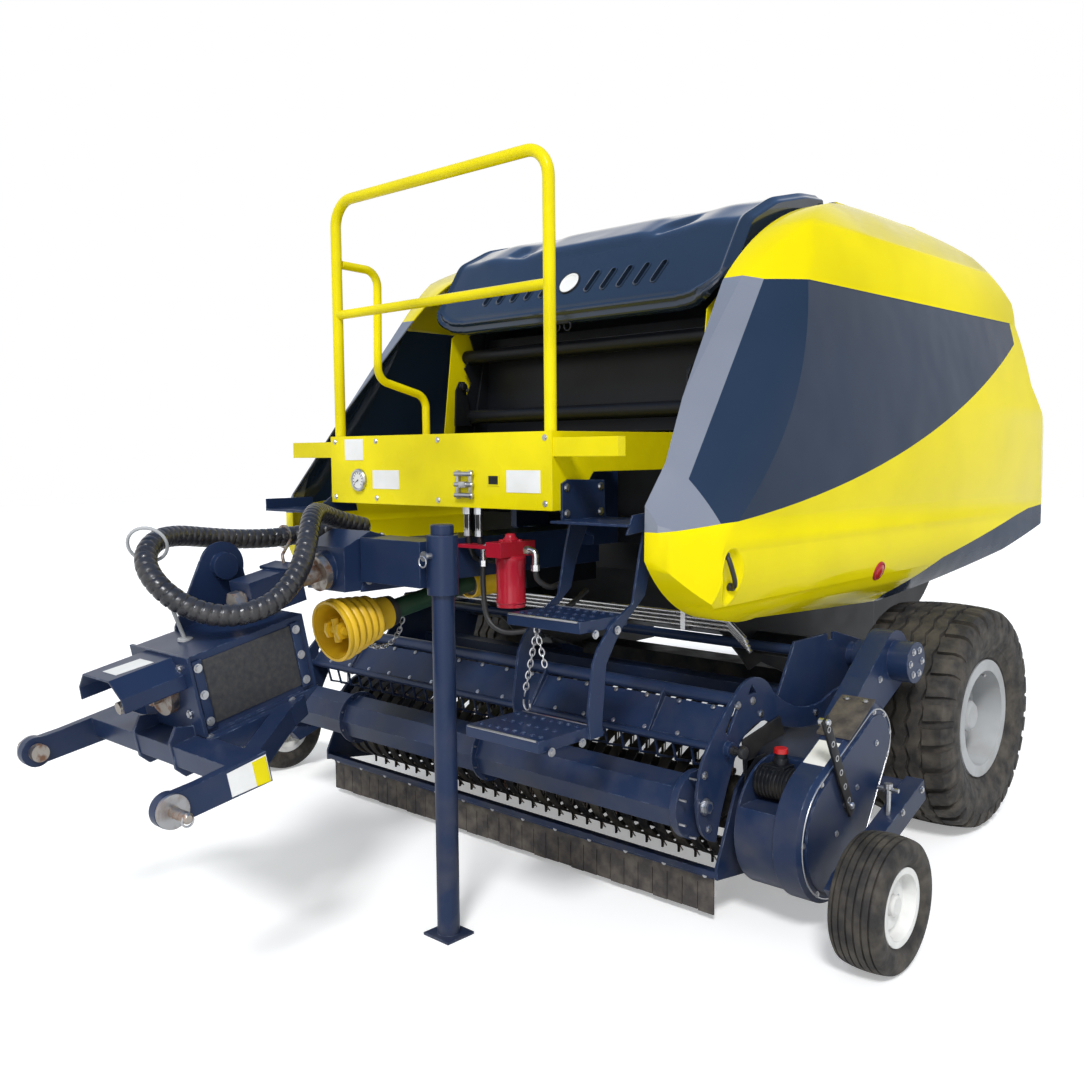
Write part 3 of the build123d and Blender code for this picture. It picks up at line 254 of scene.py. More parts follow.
navy = paint("navy_paint", (0.014, 0.028, 0.075), (0.20, 0.26, 0.38), rubbed=0.8, dusty=0.2, shine=0.26)
yellow = paint("yellow_paint", (0.84, 0.71, 0.002), (0.95, 0.88, 0.30), rough=0.26, rubbed=0.25,
               dusty=0.05, coat=0.06, grain=0.01, shine=0.12)
black_paint = paint("black_paint", (0.008, 0.009, 0.012), (0.10, 0.10, 0.11), rough=0.36, dusty=0.35)
red_paint = paint("red_paint", (0.42, 0.012, 0.030), (0.70, 0.20, 0.20), dusty=0.1, coat=0.3)
white_paint = paint("white_paint", (0.80, 0.80, 0.78), (0.45, 0.43, 0.40), coat=0.2)
grey_paint = paint("grey_paint", (0.42, 0.43, 0.44), (0.62, 0.62, 0.62), rough=0.42, dusty=0.35)
black_steel = paint("black_steel", (0.010, 0.010, 0.012), (0.22, 0.21, 0.20), rough=0.42, rubbed=0.9,
                    dusty=0.5)

# %% [markdown]
# The doors and the hood are moulded shells with a deep clear coat. Their colour hardly varies, so the look
# lies in the coat: very smooth, with a slow waviness that bends the reflected sky as a large moulding does.


# %% Moulded gloss
def moulded(name, colour, waviness=0.22, rough=0.10, coat=0.3, shine=0.3):
    """Gel-coated moulding: near-even colour under a clear coat whose reflections wave slowly."""
    material, tree, bsdf, place = shader(name)
    darker = tuple(0.8 * c for c in colour)
    tone = mixed(tree, spread(tree, noise(tree, place, 1.3, 3), 0.35, 0.7), colour, darker)
    specks = spread(tree, noise(tree, place, 120, 6), 0.70, 0.78, 0.0, 0.12)
    smear = spread(tree, noise(tree, place, 6, 5), 0.35, 0.7, rough * 0.7, rough * 1.6)
    coated(tree, bsdf, colour=mixed(tree, specks, tone, DUST), rough=smear, coat=coat, coat_rough=0.03,
            shine=shine)
    bumped(tree, bsdf, noise(tree, place, 2.6, 2), waviness, 0.05)
    return material


yellow_gloss = moulded("yellow_gloss", (0.82, 0.69, 0.002), waviness=0.10, rough=0.14, coat=0.04,
                       shine=0.06)
slate_gloss = moulded("slate_gloss", (0.018, 0.030, 0.054), coat=0.45)
glass_gloss = moulded("glass_gloss", (0.020, 0.036, 0.070), coat=0.05, shine=0.08)
grey_gloss = moulded("grey_gloss", (0.20, 0.22, 0.27), waviness=0.30, rough=0.14)

# %% [markdown]
# Rubber, bare steel and plastic differ mostly in how rough they are and what dirties them: tyres carry
# brown dust in a fine mottle, bare steel rusts in patches, moulded plastic fades evenly.

# %% Rubber, steel and plastic
RUST = (0.16, 0.065, 0.025)


def rubber(name, colour, dust_share, scale=16.0):
    """Worn rubber with brown dust and a fine mottle."""
    material, tree, bsdf, place = shader(name)
    dust = spread(tree, noise(tree, place, scale, 8), 0.40, 0.72, 0.0, dust_share)
    rough = spread(tree, noise(tree, place, 40, 4), 0.3, 0.7, 0.62, 0.88)
    coated(tree, bsdf, colour=mixed(tree, dust, colour, DUST), rough=rough)
    bumped(tree, bsdf, noise(tree, place, 130, 8), 0.35, 0.002)
    return material


def steel(name, colour, rough, rust):
    """Bare or plated metal, with rust in patches."""
    material, tree, bsdf, place = shader(name)
    stain = spread(tree, noise(tree, place, 30.0, 8), 0.46, 0.62, 0.0, rust)
    duller = arithmetic(tree, "ADD", arithmetic(tree, "MULTIPLY", stain, 0.4), rough)
    coated(tree, bsdf, colour=mixed(tree, stain, colour, RUST), rough=duller,
            metal=spread(tree, stain, 0.0, 1.0, 1.0, 0.2))
    bumped(tree, bsdf, noise(tree, place, 180, 6), 0.15, 0.001)
    return material


def plastic(name, colour, rough, faded):
    """Moulded plastic whose tone fades in broad patches towards another colour."""
    material, tree, bsdf, place = shader(name)
    patches = spread(tree, noise(tree, place, 7, 6), 0.35, 0.75)
    uneven = spread(tree, noise(tree, place, 22, 4), 0.3, 0.7, rough, rough + 0.18)
    coated(tree, bsdf, colour=mixed(tree, patches, colour, faded), rough=uneven)
    bumped(tree, bsdf, noise(tree, place, 90, 5), 0.12, 0.0015)
    return material


tyre_rubber = rubber("tyre_rubber", (0.016, 0.014, 0.013), 0.30)
flap_rubber = rubber("flap_rubber", (0.040, 0.034, 0.032), 0.45, 22)
apron_rubber = rubber("apron_rubber", (0.026, 0.027, 0.031), 0.12, 70)
rusty_steel = steel("rusty_steel", (0.42, 0.38, 0.34), 0.38, 0.9)
zinc = steel("zinc", (0.50, 0.51, 0.53), 0.30, 0.15)
worn_steel = steel("worn_steel", (0.40, 0.40, 0.41), 0.36, 0.35)
pipe_steel = steel("pipe_steel", (0.62, 0.62, 0.62), 0.24, 0.05)
guard_yellow = plastic("guard_yellow", (0.80, 0.50, 0.012), 0.34, (0.58, 0.36, 0.02))
guard_green = plastic("guard_green", (0.010, 0.045, 0.020), 0.35, (0.03, 0.07, 0.04))
sleeve_black = plastic("sleeve_black", (0.016, 0.016, 0.019), 0.22, (0.045, 0.043, 0.045))
black_plastic = plastic("black_plastic", (0.012, 0.012, 0.014), 0.35, (0.03, 0.03, 0.03))
lamp_red = plastic("lamp_red", (0.50, 0.012, 0.012), 0.10, (0.38, 0.01, 0.01))
plate_white = plastic("plate_white", (0.80, 0.80, 0.79), 0.38, (0.66, 0.66, 0.63))
# Near-black plastic: painted shade for the inside of the square hole on the platform sheet.
painted_hole_shade = plastic("painted_hole_shade", (0.004, 0.004, 0.004), 0.7, (0.008, 0.008, 0.008))

# %% CAD nodes that keep their own shape
DRESS = {
    navy: "axle drawbar swivel headstock stand ladder tray_right pickup_frame crop_guard press_roller "
          "chain_case drive_arm gauge_arm_left gauge_arm_right lamp_bar input_guard",
    black_paint: "chassis bale_chamber wrap_box tailgate gearbox drive_clutch",
    black_steel: "bands reel",
    yellow: "cheeks platform rail handrail",
    slate_gloss: "roof",
    glass_gloss: "door_glass_left door_glass_right door_skirt_left door_skirt_right",
    grey_gloss: "door_pillar_left door_pillar_right",
    rusty_steel: "roll_shaft link_pin_left link_pin_right input_stub hose_guide",
    guard_green: "cardan_tube",
    guard_yellow: "cardan_guards",
    red_paint: "oil_filter",
    pipe_steel: "pipes",
    lamp_red: "tail_lamps",
    grey_paint: "main_rim_left main_rim_right",
    white_paint: "gauge_rim_left gauge_rim_right",
}
for material, names in DRESS.items():
    for name in names.split():
        nodes[name].data.materials.clear()
        nodes[name].data.materials.append(material)
print("finishes", len(DRESS), "on", sum(len(names.split()) for names in DRESS.values()), "nodes")

# %% [markdown]
# The fine pieces share a few tools. Places are written in millimetres from the ground under the axle,
# as on a drawing, and turned into the frame's metres once. A shape is then drawn flat in a view (side,
# front or along the tilted headstock) and pushed through its thickness, or turned about an axis, or swept
# along points. Bmesh is used because each step adds to one open mesh that is finished once.

# %% Views
TILT = math.radians(12)
KING = (-2400, 1062.05)            # the king pin crosses the roll shaft here, along Y and Z
LEFTWARD = Vector((1, 0, 0))
FORWARD = Vector((0, -1, 0))
UPWARD = Vector((0, 0, 1))
DOWNWARD = Vector((0, 0, -1))


def at(x, y, z):
    """A drawing's point in the frame's metres."""
    return Vector((x, y + 1000 * AXLE_Y, z)) / 1000


def side(u, v, w):
    """Seen from the side: u along the machine, v up, w across."""
    return at(w, u, v)


def front(u, v, w):
    """Seen from the front: u across, v up, w along the machine."""
    return at(u, w, v)


def head_side(u, v, w):
    """The tilted headstock from its side: u along it from the king pin, v up the pin, w across."""
    return at(w, KING[0] + u * math.cos(TILT) - v * math.sin(TILT),
              KING[1] + u * math.sin(TILT) + v * math.cos(TILT))


def outward(s):
    """Away from the machine on its left (1) or right (-1) side."""
    return Vector((s, 0, 0))


def cast(name, start, way):
    """Where a ray first meets a CAD node, and the way its surface faces there."""
    hit, place, normal, _ = nodes[name].ray_cast(start, way)
    if not hit:
        raise ValueError("no surface of " + name + " was met")
    return place, normal


# %% Rings and skins
def turns(count, first=0.0):
    """Evenly spaced angles round a full turn."""
    return [2 * math.pi * (k + first) / count for k in range(count)]


def circle(view, middle, radius, depth, count=20, first=0.0):
    """Points of a circle drawn in a view."""
    u, v = middle
    return [view(u + radius * math.cos(a), v + radius * math.sin(a), depth) for a in turns(count, first)]


def ring_about(centre, across, third, radius, steps):
    """Points in a ring about a centre, in the plane of two unit vectors."""
    return [centre + (across * math.cos(a) + third * math.sin(a)) * radius / 1000 for a in turns(steps)]


def vertices(bm, points):
    """New vertices at points."""
    return [bm.verts.new(point) for point in points]


def skin(bm, rings, closed=False):
    """Quads between neighbouring rings of vertices; a ring of one vertex is a pole."""
    pairs = list(zip(rings, rings[1:]))
    if closed:
        pairs.append((rings[-1], rings[0]))
    for one, two in pairs:
        steps = max(len(one), len(two))
        for i in range(steps):
            j = (i + 1) % steps
            corners = [one[i % len(one)], one[j % len(one)], two[j % len(two)], two[i % len(two)]]
            corners = list(dict.fromkeys(corners))
            if len(corners) > 2:
                bm.faces.new(corners)


# %% Slabs, turned shapes and rods
def slab(bm, view, outline, start, end):
    """A flat outline pushed from one depth to another."""
    lower = vertices(bm, [view(u, v, start) for u, v in outline])
    upper = vertices(bm, [view(u, v, end) for u, v in outline])
    bm.faces.new(lower)
    bm.faces.new(upper)
    skin(bm, [lower, upper])


def box(bm, view, middle, size, start, end):
    """A rectangular slab about a middle point."""
    (u, v), (w, h) = middle, size
    left, right, low, high = u - w / 2, u + w / 2, v - h / 2, v + h / 2
    slab(bm, view, ((left, low), (right, low), (right, high), (left, high)), start, end)


def turn(bm, origin, axis, profile, steps=32, closed=False):
    """A profile of (along, radius) in millimetres turned about an axis through the origin."""
    axis = Vector(axis).normalized()
    across = axis.orthogonal().normalized()
    third = axis.cross(across)
    rings = []
    for along, radius in profile:
        centre = origin + axis * along / 1000
        ring = ring_about(centre, across, third, radius, steps) if radius else [centre]
        rings.append(vertices(bm, ring))
    skin(bm, rings, closed)


def steady_across(ahead, last):
    """A direction across the way ahead that turns as little as it can from the last one."""
    across = ahead.orthogonal() if last is None else last - ahead * last.dot(ahead)
    return across.normalized()


def rod(bm, points, radius, sides=10, closed=False):
    """A round bar or wire swept along points in metres, with flat ends."""
    rings = []
    across = None
    count = len(points)
    for i, point in enumerate(points):
        if closed:
            ahead = points[(i + 1) % count] - points[i - 1]
        else:
            ahead = points[min(i + 1, count - 1)] - points[max(i - 1, 0)]
        ahead.normalize()
        across = steady_across(ahead, across)
        rings.append(vertices(bm, ring_about(point, across, ahead.cross(across), radius, sides)))
    skin(bm, rings, closed)
    if not closed:
        bm.faces.new(rings[0])
        bm.faces.new(rings[-1])


def smooth_line(points, each=6):
    """Points on a smooth line through the given ones."""
    done = []
    count = len(points)
    for i in range(count - 1):
        a, b = points[max(i - 1, 0)], points[i]
        c, d = points[i + 1], points[min(i + 2, count - 1)]
        for k in range(each):
            t = k / each
            done.append(0.5 * (2 * b + (c - a) * t + (2 * a - 5 * b + 4 * c - d) * t * t
                               + (3 * b - 3 * c + d - a) * t * t * t))
    done.append(points[-1].copy())
    return done


def plain_mesh(name, bm):
    """A mesh from a bmesh that is no longer needed."""
    mesh = bpy.data.meshes.new(name)
    bm.to_mesh(mesh)
    bm.free()
    return mesh


# %% [markdown]
# Every piece ends the same way: seams merged, faces turned outwards, edges sharp only past an angle, a
# finish, and a body to ride on. One function does it, so none is forgotten.

# %% Finishing a piece
SEAM = 1e-5
BEVEL_FROM = math.radians(50)


def finish_piece(name, shape, material, body, sharp=35, bevel=0.0):
    """A piece of the machine from a bmesh or a mesh; with no body it rides on nothing."""
    if isinstance(shape, bpy.types.Mesh):
        bm = bmesh.new()
        bm.from_mesh(shape)
    else:
        bm = shape
    bmesh.ops.remove_doubles(bm, verts=bm.verts, dist=SEAM)
    bmesh.ops.recalc_face_normals(bm, faces=bm.faces)
    if bevel:
        corners = [e for e in bm.edges if len(e.link_faces) == 2 and e.calc_face_angle(0) > BEVEL_FROM]
        bmesh.ops.bevel(bm, geom=corners, offset=bevel / 1000, segments=2, profile=0.6, affect="EDGES",
                        clamp_overlap=True)
    mesh = plain_mesh(name, bm)
    mesh.shade_smooth()
    mesh.set_sharp_from_angle(angle=math.radians(sharp))
    mesh.materials.clear()
    mesh.materials.append(material)
    piece = bpy.data.objects.new(name, mesh)
    bpy.context.scene.collection.objects.link(piece)
    if body:
        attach(piece, body)
    return piece


# %% [markdown]
# Bolts, lugs and teeth repeat by rule, so Geometry Nodes place them. Three small trees are enough: one
# repeats a shape round the axle of a wheel, one in a straight row, and one puts a hexagon head with its
# washer on every marked point, turned to face the way the surface does.


# %% Starting and closing a tree
def start_tree(name, inputs):
    """An empty tree with a mesh in, a mesh out and named inputs."""
    tree = bpy.data.node_groups.new(name, "GeometryNodeTree")
    tree.interface.new_socket("Shape", in_out="INPUT", socket_type="NodeSocketGeometry")
    for label, kind in inputs.items():
        tree.interface.new_socket(label, in_out="INPUT", socket_type="NodeSocket" + kind)
    tree.interface.new_socket("Shape", in_out="OUTPUT", socket_type="NodeSocketGeometry")
    sockets = add_node(tree, "NodeGroupInput").outputs
    return tree, {socket.name: socket for socket in sockets if socket.name}


def close_tree(tree, placed, finish):
    """Real mesh instead of instances, in one finish."""
    real = add_node(tree, "GeometryNodeRealizeInstances", {0: placed}).outputs[0]
    done = add_node(tree, "GeometryNodeSetMaterial", {"Geometry": real, "Material": finish})
    add_node(tree, "NodeGroupOutput", {0: done.outputs[0]})
    print(tree.name, "has", len(tree.nodes), "nodes")


# %% Round the hub
wheel_tree, given = start_tree("round the hub", {"Count": "Int", "Hub": "Vector", "Finish": "Material"})
index = add_node(wheel_tree, "GeometryNodeInputIndex").outputs[0]
points = add_node(wheel_tree, "GeometryNodePoints", {"Count": given["Count"], "Position": given["Hub"]})
share = arithmetic(wheel_tree, "DIVIDE", index, given["Count"])
angle = arithmetic(wheel_tree, "MULTIPLY", share, 2 * math.pi)
about_x = add_node(wheel_tree, "ShaderNodeCombineXYZ", {"X": angle})
copies = add_node(wheel_tree, "GeometryNodeInstanceOnPoints", {
    "Points": points.outputs[0], "Instance": given["Shape"], "Rotation": about_x.outputs[0]})
close_tree(wheel_tree, copies.outputs[0], given["Finish"])

# %% In a row
row_tree, given = start_tree("in a row", {"Count": "Int", "Step": "Vector", "Finish": "Material"})
index = add_node(row_tree, "GeometryNodeInputIndex").outputs[0]
stride = add_node(row_tree, "ShaderNodeVectorMath", {0: given["Step"], "Scale": index}, operation="SCALE")
points = add_node(row_tree, "GeometryNodePoints", {"Count": given["Count"], "Position": stride.outputs[0]})
copies = add_node(row_tree, "GeometryNodeInstanceOnPoints", {
    "Points": points.outputs[0], "Instance": given["Shape"]})
close_tree(row_tree, copies.outputs[0], given["Finish"])

# %% Bolt heads
WASHER_RADIUS = 1.45               # shares of the head's radius and height
WASHER_HEIGHT = 0.5
bolt_tree, given = start_tree("bolt heads", {
    "Head radius": "Float", "Head height": "Float", "Finish": "Material"})
depth = arithmetic(bolt_tree, "MULTIPLY", given["Head height"], 2.0)
head = add_node(bolt_tree, "GeometryNodeMeshCylinder", {
    "Vertices": 6, "Radius": given["Head radius"], "Depth": depth})
wide = arithmetic(bolt_tree, "MULTIPLY", given["Head radius"], WASHER_RADIUS)
thin = arithmetic(bolt_tree, "MULTIPLY", given["Head height"], WASHER_HEIGHT)
washer = add_node(bolt_tree, "GeometryNodeMeshCylinder", {"Vertices": 16, "Radius": wide, "Depth": thin})
bolt = add_node(bolt_tree, "GeometryNodeJoinGeometry")
bolt_tree.links.new(head.outputs["Mesh"], bolt.inputs[0])
bolt_tree.links.new(washer.outputs["Mesh"], bolt.inputs[0])
facing = add_node(bolt_tree, "GeometryNodeInputNamedAttribute", {"Name": "facing"},
                  data_type="FLOAT_VECTOR")
turned = add_node(bolt_tree, "FunctionNodeAlignRotationToVector", {"Vector": facing.outputs[0]}, axis="Z")
copies = add_node(bolt_tree, "GeometryNodeInstanceOnPoints", {
    "Points": given["Shape"], "Instance": bolt.outputs[0], "Rotation": turned.outputs[0]})
close_tree(bolt_tree, copies.outputs[0], given["Finish"])


# %% Growing a tree into a mesh
def repeated(name, mesh, tree, values):
    """A mesh grown by a tree, as a plain mesh."""
    seed = bpy.data.objects.new(name + "_seed", mesh)
    bpy.context.scene.collection.objects.link(seed)
    modifier = seed.modifiers.new(name, "NODES")
    modifier.node_group = tree
    for item in tree.interface.items_tree:
        if item.in_out == "INPUT" and item.name in values:
            modifier[item.identifier] = values[item.name]
    view = bpy.context.evaluated_depsgraph_get()
    grown = bpy.data.meshes.new_from_object(seed.evaluated_get(view))
    bpy.data.objects.remove(seed)
    return grown


def bolts(name, heads, radius, body):
    """Hexagon heads at (place, facing) pairs."""
    mesh = bpy.data.meshes.new(name)
    mesh.from_pydata([place for place, out in heads], [], [])
    facing = mesh.attributes.new("facing", "FLOAT_VECTOR", "POINT")
    for item, (place, out) in zip(facing.data, heads):
        item.vector = out
    values = {"Head radius": radius / 1000, "Head height": radius * 0.0007, "Finish": zinc}
    finish_piece(name, repeated(name, mesh, bolt_tree, values), zinc, body, 30)
    print(name, len(heads))


# %% [markdown]
# The hydraulic hoses run in one black spiral sleeve, from the drawbar forward round the headstock and
# back. It is a cord: its line is a NURBS spline through listed control points, and the sleeve is a
# tube that follows points read from that line. The spiral is made by letting the tube's radius wave
# along its length and round its girth, which gives a helix without a second object.

# %% Hose line
HOSE_POINTS = ((-140, -1880, 1232), (-140, -2000, 1262), (-90, -2110, 1300), (20, -2212, 1290),
               (110, -2290, 1222), (168, -2360, 1140), (184, -2450, 1062), (160, -2545, 1030),
               (110, -2630, 1034), (45, -2700, 1080), (-25, -2732, 1146), (-95, -2710, 1200),
               (-155, -2640, 1238), (-205, -2545, 1242), (-238, -2430, 1226), (-258, -2310, 1212),
               (-262, -2190, 1206), (-246, -2075, 1212), (-216, -1970, 1222), (-190, -1870, 1232))
HOSE_R = 32.0

line = bpy.data.curves.new("hose_line", "CURVE")
line.dimensions = "3D"
line.resolution_u = 24
spline = line.splines.new("NURBS")
spline.points.add(len(HOSE_POINTS) - 1)
for control, point in zip(spline.points, HOSE_POINTS):
    control.co = (*at(*point), 1)
spline.order_u = 3
spline.use_endpoint_u = True
line_object = bpy.data.objects.new("hose_line", line)
bpy.context.scene.collection.objects.link(line_object)
line_mesh = bpy.data.meshes.new_from_object(line_object)
hose_route = [vertex.co.copy() for vertex in line_mesh.vertices]
bpy.data.objects.remove(line_object)
hose_run = sum((b - a).length for a, b in zip(hose_route, hose_route[1:]))
print("hose runs", round(hose_run, 3), "m over", len(hose_route), "points")

# %% Hose sleeve
SPIRAL_PITCH = 26.0
SPIRAL_DEPTH = 5.0
GROOVE_SHARE = 0.16                # half the groove's width as a share of the pitch
RING_STEP = 4.0
SLEEVE_SIDES = 28


def along_route(route, step):
    """Points, and directions, at even steps along a route."""
    done = []
    left = 0.0
    for a, b in zip(route, route[1:]):
        run = (b - a).length
        while left < run:
            done.append((a.lerp(b, left / run), (b - a).normalized()))
            left += step
        left -= run
    return done


sleeve = bmesh.new()
across = None
rings = []
for number, (centre, ahead) in enumerate(along_route(hose_route, RING_STEP / 1000)):
    across = steady_across(ahead, across)
    third = ahead.cross(across)
    ring = []
    for k, a in enumerate(turns(SLEEVE_SIDES)):
        phase = (number * RING_STEP / SPIRAL_PITCH + k / SLEEVE_SIDES) % 1
        dip = SPIRAL_DEPTH * max(0.0, 1 - abs(phase - 0.5) / GROOVE_SHARE)
        reach = (HOSE_R - dip) / 1000
        ring.append(sleeve.verts.new(centre + (across * math.cos(a) + third * math.sin(a)) * reach))
    rings.append(ring)
skin(sleeve, rings)
sleeve.faces.new(rings[0])
sleeve.faces.new(rings[-1])
hose = finish_piece("hose_sleeve", sleeve, sleeve_black, None, 60)
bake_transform(hose)
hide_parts("hose_bundle")
print("sleeve faces", len(hose.data.polygons))

# %% [markdown]
# A farm tyre is a carcass of revolution with blocks standing on it. The carcass is a profile turned about
# the axle, with fine rings moulded in its wall. The blocks repeat round the wheel, so one sector is
# built, a lug on each shoulder and zigzag ribs between them, and the wheel tree repeats it.

# %% Tyre sizes
TRACK_X = 1113.0
TYRE_R = 437.0
SECTORS = 30
SECTOR = 2 * math.pi / SECTORS
LUG_FLOOR = 416.0
RIB_HEIGHT = 14
RIB_SWING = 7


def crown(x):
    """The tread's radius at this distance from the tyre's middle."""
    return TYRE_R - 13.2 * (x / 175) ** 2


def on_tread(turned_by, x, radius):
    """A point on the tyre about its own hub, the sector starting at the top."""
    a = turned_by * SECTOR
    return Vector((x, radius * math.sin(a), radius * math.cos(a))) / 1000


def strip(bm, rows):
    """Quads between neighbouring open rows of vertices."""
    for one, two in zip(rows, rows[1:]):
        for k in range(len(one) - 1):
            bm.faces.new((one[k], one[k + 1], two[k + 1], two[k]))


# %% One tread sector
LUG = ((112, 0.0, crown(112), LUG_FLOOR - 4), (150, 0.05, crown(150), 408), (178, 0.10, 421, 398),
       (192, 0.13, 407, 385), (200.5, 0.15, 378, 360))       # across, skew, top and foot radius
LUG_START, LUG_END, LUG_LEAN = 0.14, 0.86, 0.03              # shares of a sector
RIB_EDGES = ((-104, -60), (-50, -5), (5, 50), (60, 104))

sector = bmesh.new()
for s, shift in ((1, 0.0), (-1, 0.5)):
    rows = []
    for x, skew, top, foot in LUG:
        start = shift + skew + LUG_START
        end = shift + skew + LUG_END
        marks = ((start, foot), (start + LUG_LEAN, top), ((start + end) / 2, top), (end - LUG_LEAN, top),
                 (end, foot))
        rows.append(vertices(sector, [on_tread(share, s * x, radius) for share, radius in marks]))
    strip(sector, rows)
    sector.faces.new(rows[0])
    sector.faces.new(rows[-1])
for left, right in RIB_EDGES:
    section = ((left, RIB_HEIGHT), (left + 2, 0), ((left + right) / 2, 0), (right - 2, 0),
               (right, RIB_HEIGHT))
    for start, end, swing in ((0.0, 0.5, RIB_SWING), (0.5, 1.0, -RIB_SWING)):
        strip(sector, [vertices(sector, [on_tread(share, x + sway, crown(x) - drop) for x, drop in section])
                       for share, sway in ((start, -swing), (end, swing))])
sector_mesh = plain_mesh("tread_sector", sector)
print("faces in one sector", len(sector_mesh.polygons))

# %% Main tyres
WALL = ((150, 198), (160.5, 212), (163, 229), (170, 238), (173, 240), (174, 246), (177, 250), (184, 268),
        (188, 272), (189, 277), (193, 286), (199, 308), (201, 314), (201.6, 332), (200.8, 350), (198, 366),
        (193, 384), (184, 398), (165, 410), (112, LUG_FLOOR), (56, crown(56) - 13), (0, crown(0) - 13))


def tyre_piece(look, wheel, name, hub, half, steps, blocks=None, sharp=30):
    """A tyre from half its profile, with any blocks on it, in place of the CAD model's plain one."""
    bm = bmesh.new()
    if blocks:
        bm.from_mesh(blocks)
    profile = list(half) + [(-x, r) for x, r in reversed(half) if x]
    turn(bm, hub, LEFTWARD, profile, steps, closed=True)
    tyre = finish_piece(look + "_tyre_" + name, bm, tyre_rubber, wheel + "_wheel_" + name, sharp)
    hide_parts(wheel + "_tyre_" + name)
    print(tyre.name, "faces", len(tyre.data.polygons))


for name, s in SIDES:
    hub = at(s * TRACK_X, 0, TYRE_R)
    values = {"Count": SECTORS, "Hub": hub, "Finish": tyre_rubber}
    blocks = repeated("tread", sector_mesh, wheel_tree, values)
    tyre_piece("tread", "main", name, hub, WALL, 90, blocks, 32)

# %% [markdown]
# The small gauge wheels run on road-pattern tyres: no lugs, only grooves round the tread. That is a
# profile with notches, turned once; nothing repeats round the wheel, so no tree is needed.

# %% Gauge tyres
GAUGE_AT = (1515, -1349, 195.5)
GROOVES = (54, 33, 11)             # places of the grooves across the tread
GROOVE_DEPTH = 6


def gauge_crown(x):
    """The gauge tyre's radius at this distance from its middle."""
    return 195.3 - 7.0 * (x / 66) ** 2


half = [(52, 100), (60, 114), (70, 124), (75, 138), (77, 152), (76, 168), (72, 180), (66, 187)]
for x in GROOVES:
    floor_r = gauge_crown(x) - GROOVE_DEPTH
    half += [(x + 3, gauge_crown(x + 3)), (x + 2.2, floor_r), (x - 2.2, floor_r),
             (x - 3, gauge_crown(x - 3))]
for name, s in SIDES:
    hub = at(s * GAUGE_AT[0], GAUGE_AT[1], GAUGE_AT[2])
    tyre_piece("grooved", "gauge", name, hub, half, 72)

# %% Wheel bolts
MAIN_BOLTS = (8, 0.5, 100)         # how many, the first one's turn, and the radius of their ring
GAUGE_BOLTS = (5, 0.2, 46)


def bolt_ring(hub, x, s, ring):
    """Bolt heads in a ring about a wheel's hub."""
    count, first, radius = ring
    return [(place, outward(s)) for place in circle(side, hub, radius, s * x, count, first)]


for name, s in SIDES:
    wheel = "main_wheel_" + name
    bolts("wheel_nuts_" + name, bolt_ring((0, TYRE_R), TRACK_X + 73, s, MAIN_BOLTS), 12, wheel)
    heads = bolt_ring(GAUGE_AT[1:], GAUGE_AT[0] + 26, s, GAUGE_BOLTS)
    bolts("gauge_nuts_" + name, heads, 7, "gauge_wheel_" + name)
    bm = bmesh.new()
    profile = ((0, 62), (10, 62), (14, 58), (44, 52), (52, 44), (54, 0))
    turn(bm, at(s * (TRACK_X + 80), 0, TYRE_R), outward(s), profile)
    finish_piece("hub_cap_" + name, bm, grey_paint, wheel)
    bm = bmesh.new()
    profile = ((-12, 8), (0, 8), (4, 4), (26, 4), (28, 5), (34, 5), (35, 0))
    turn(bm, at(s * (TRACK_X + 120), 66, TYRE_R + 162), Vector((s, -0.3, -0.2)), profile, 12)
    finish_piece("valve_" + name, bm, zinc, wheel)

# %% [markdown]
# The hood is one large moulding: a rounded front with a double bead round its free edge, five slanted
# louvres each side of a round blank badge, two triangular hollows above and a raised middle. The CAD hood
# gives the outline in straight runs. Here the same outline is rounded at its corners and swept across as
# a grid whose height is a sum of simple bumps, because a bead that follows an edge is easiest to say as
# a function of the distance to that edge. A Solidify modifier gives it thickness, and a Boolean cuts the
# louvres.

# %% Hood line
HOOD_X = 764.0
HOOD_LINE = ((-1012, 1985), (-1035, 2040), (-950, 2180), (-870, 2310), (-690, 2400), (-480, 2450),
             (-362, 2459))
CORNER = 34.0
LINE_POINTS = 241


def rounded(points, reach, steps=5):
    """A line of flat runs whose corners are rounded over this reach."""
    done = [Vector(points[0])]
    for before, here, after in zip(points, points[1:], points[2:]):
        here = Vector(here)
        back = Vector(before) - here
        ahead = Vector(after) - here
        near = min(reach, 0.45 * back.length, 0.45 * ahead.length)
        start = here + back.normalized() * near
        end = here + ahead.normalized() * near
        for k in range(steps + 1):
            t = k / steps
            done.append((1 - t) ** 2 * start + 2 * t * (1 - t) * here + t * t * end)
    done.append(Vector(points[-1]))
    return done


def evenly(points, count):
    """The same line at evenly spaced points."""
    runs = [(b - a).length for a, b in zip(points, points[1:])]
    total = sum(runs)
    done = []
    for k in range(count):
        want = total * k / (count - 1)
        for i, run in enumerate(runs):
            if want <= run or i == len(runs) - 1:
                done.append(points[i].lerp(points[i + 1], min(1.0, want / run)))
                break
            want -= run
    return done


hood_line = evenly(rounded(HOOD_LINE, CORNER), LINE_POINTS)
hood_run = sum((b - a).length for a, b in zip(hood_line, hood_line[1:]))
print("hood line", round(hood_run), "mm")

# %% Hood surface
ROUND_FROM = 560                   # the free edge rises beyond this distance from the middle
EDGE_Z = 1985
EDGE_RISE = 190


def bump(distance, middle, width):
    """A smooth bump along a distance."""
    return math.exp(-((distance - middle) / width) ** 2)


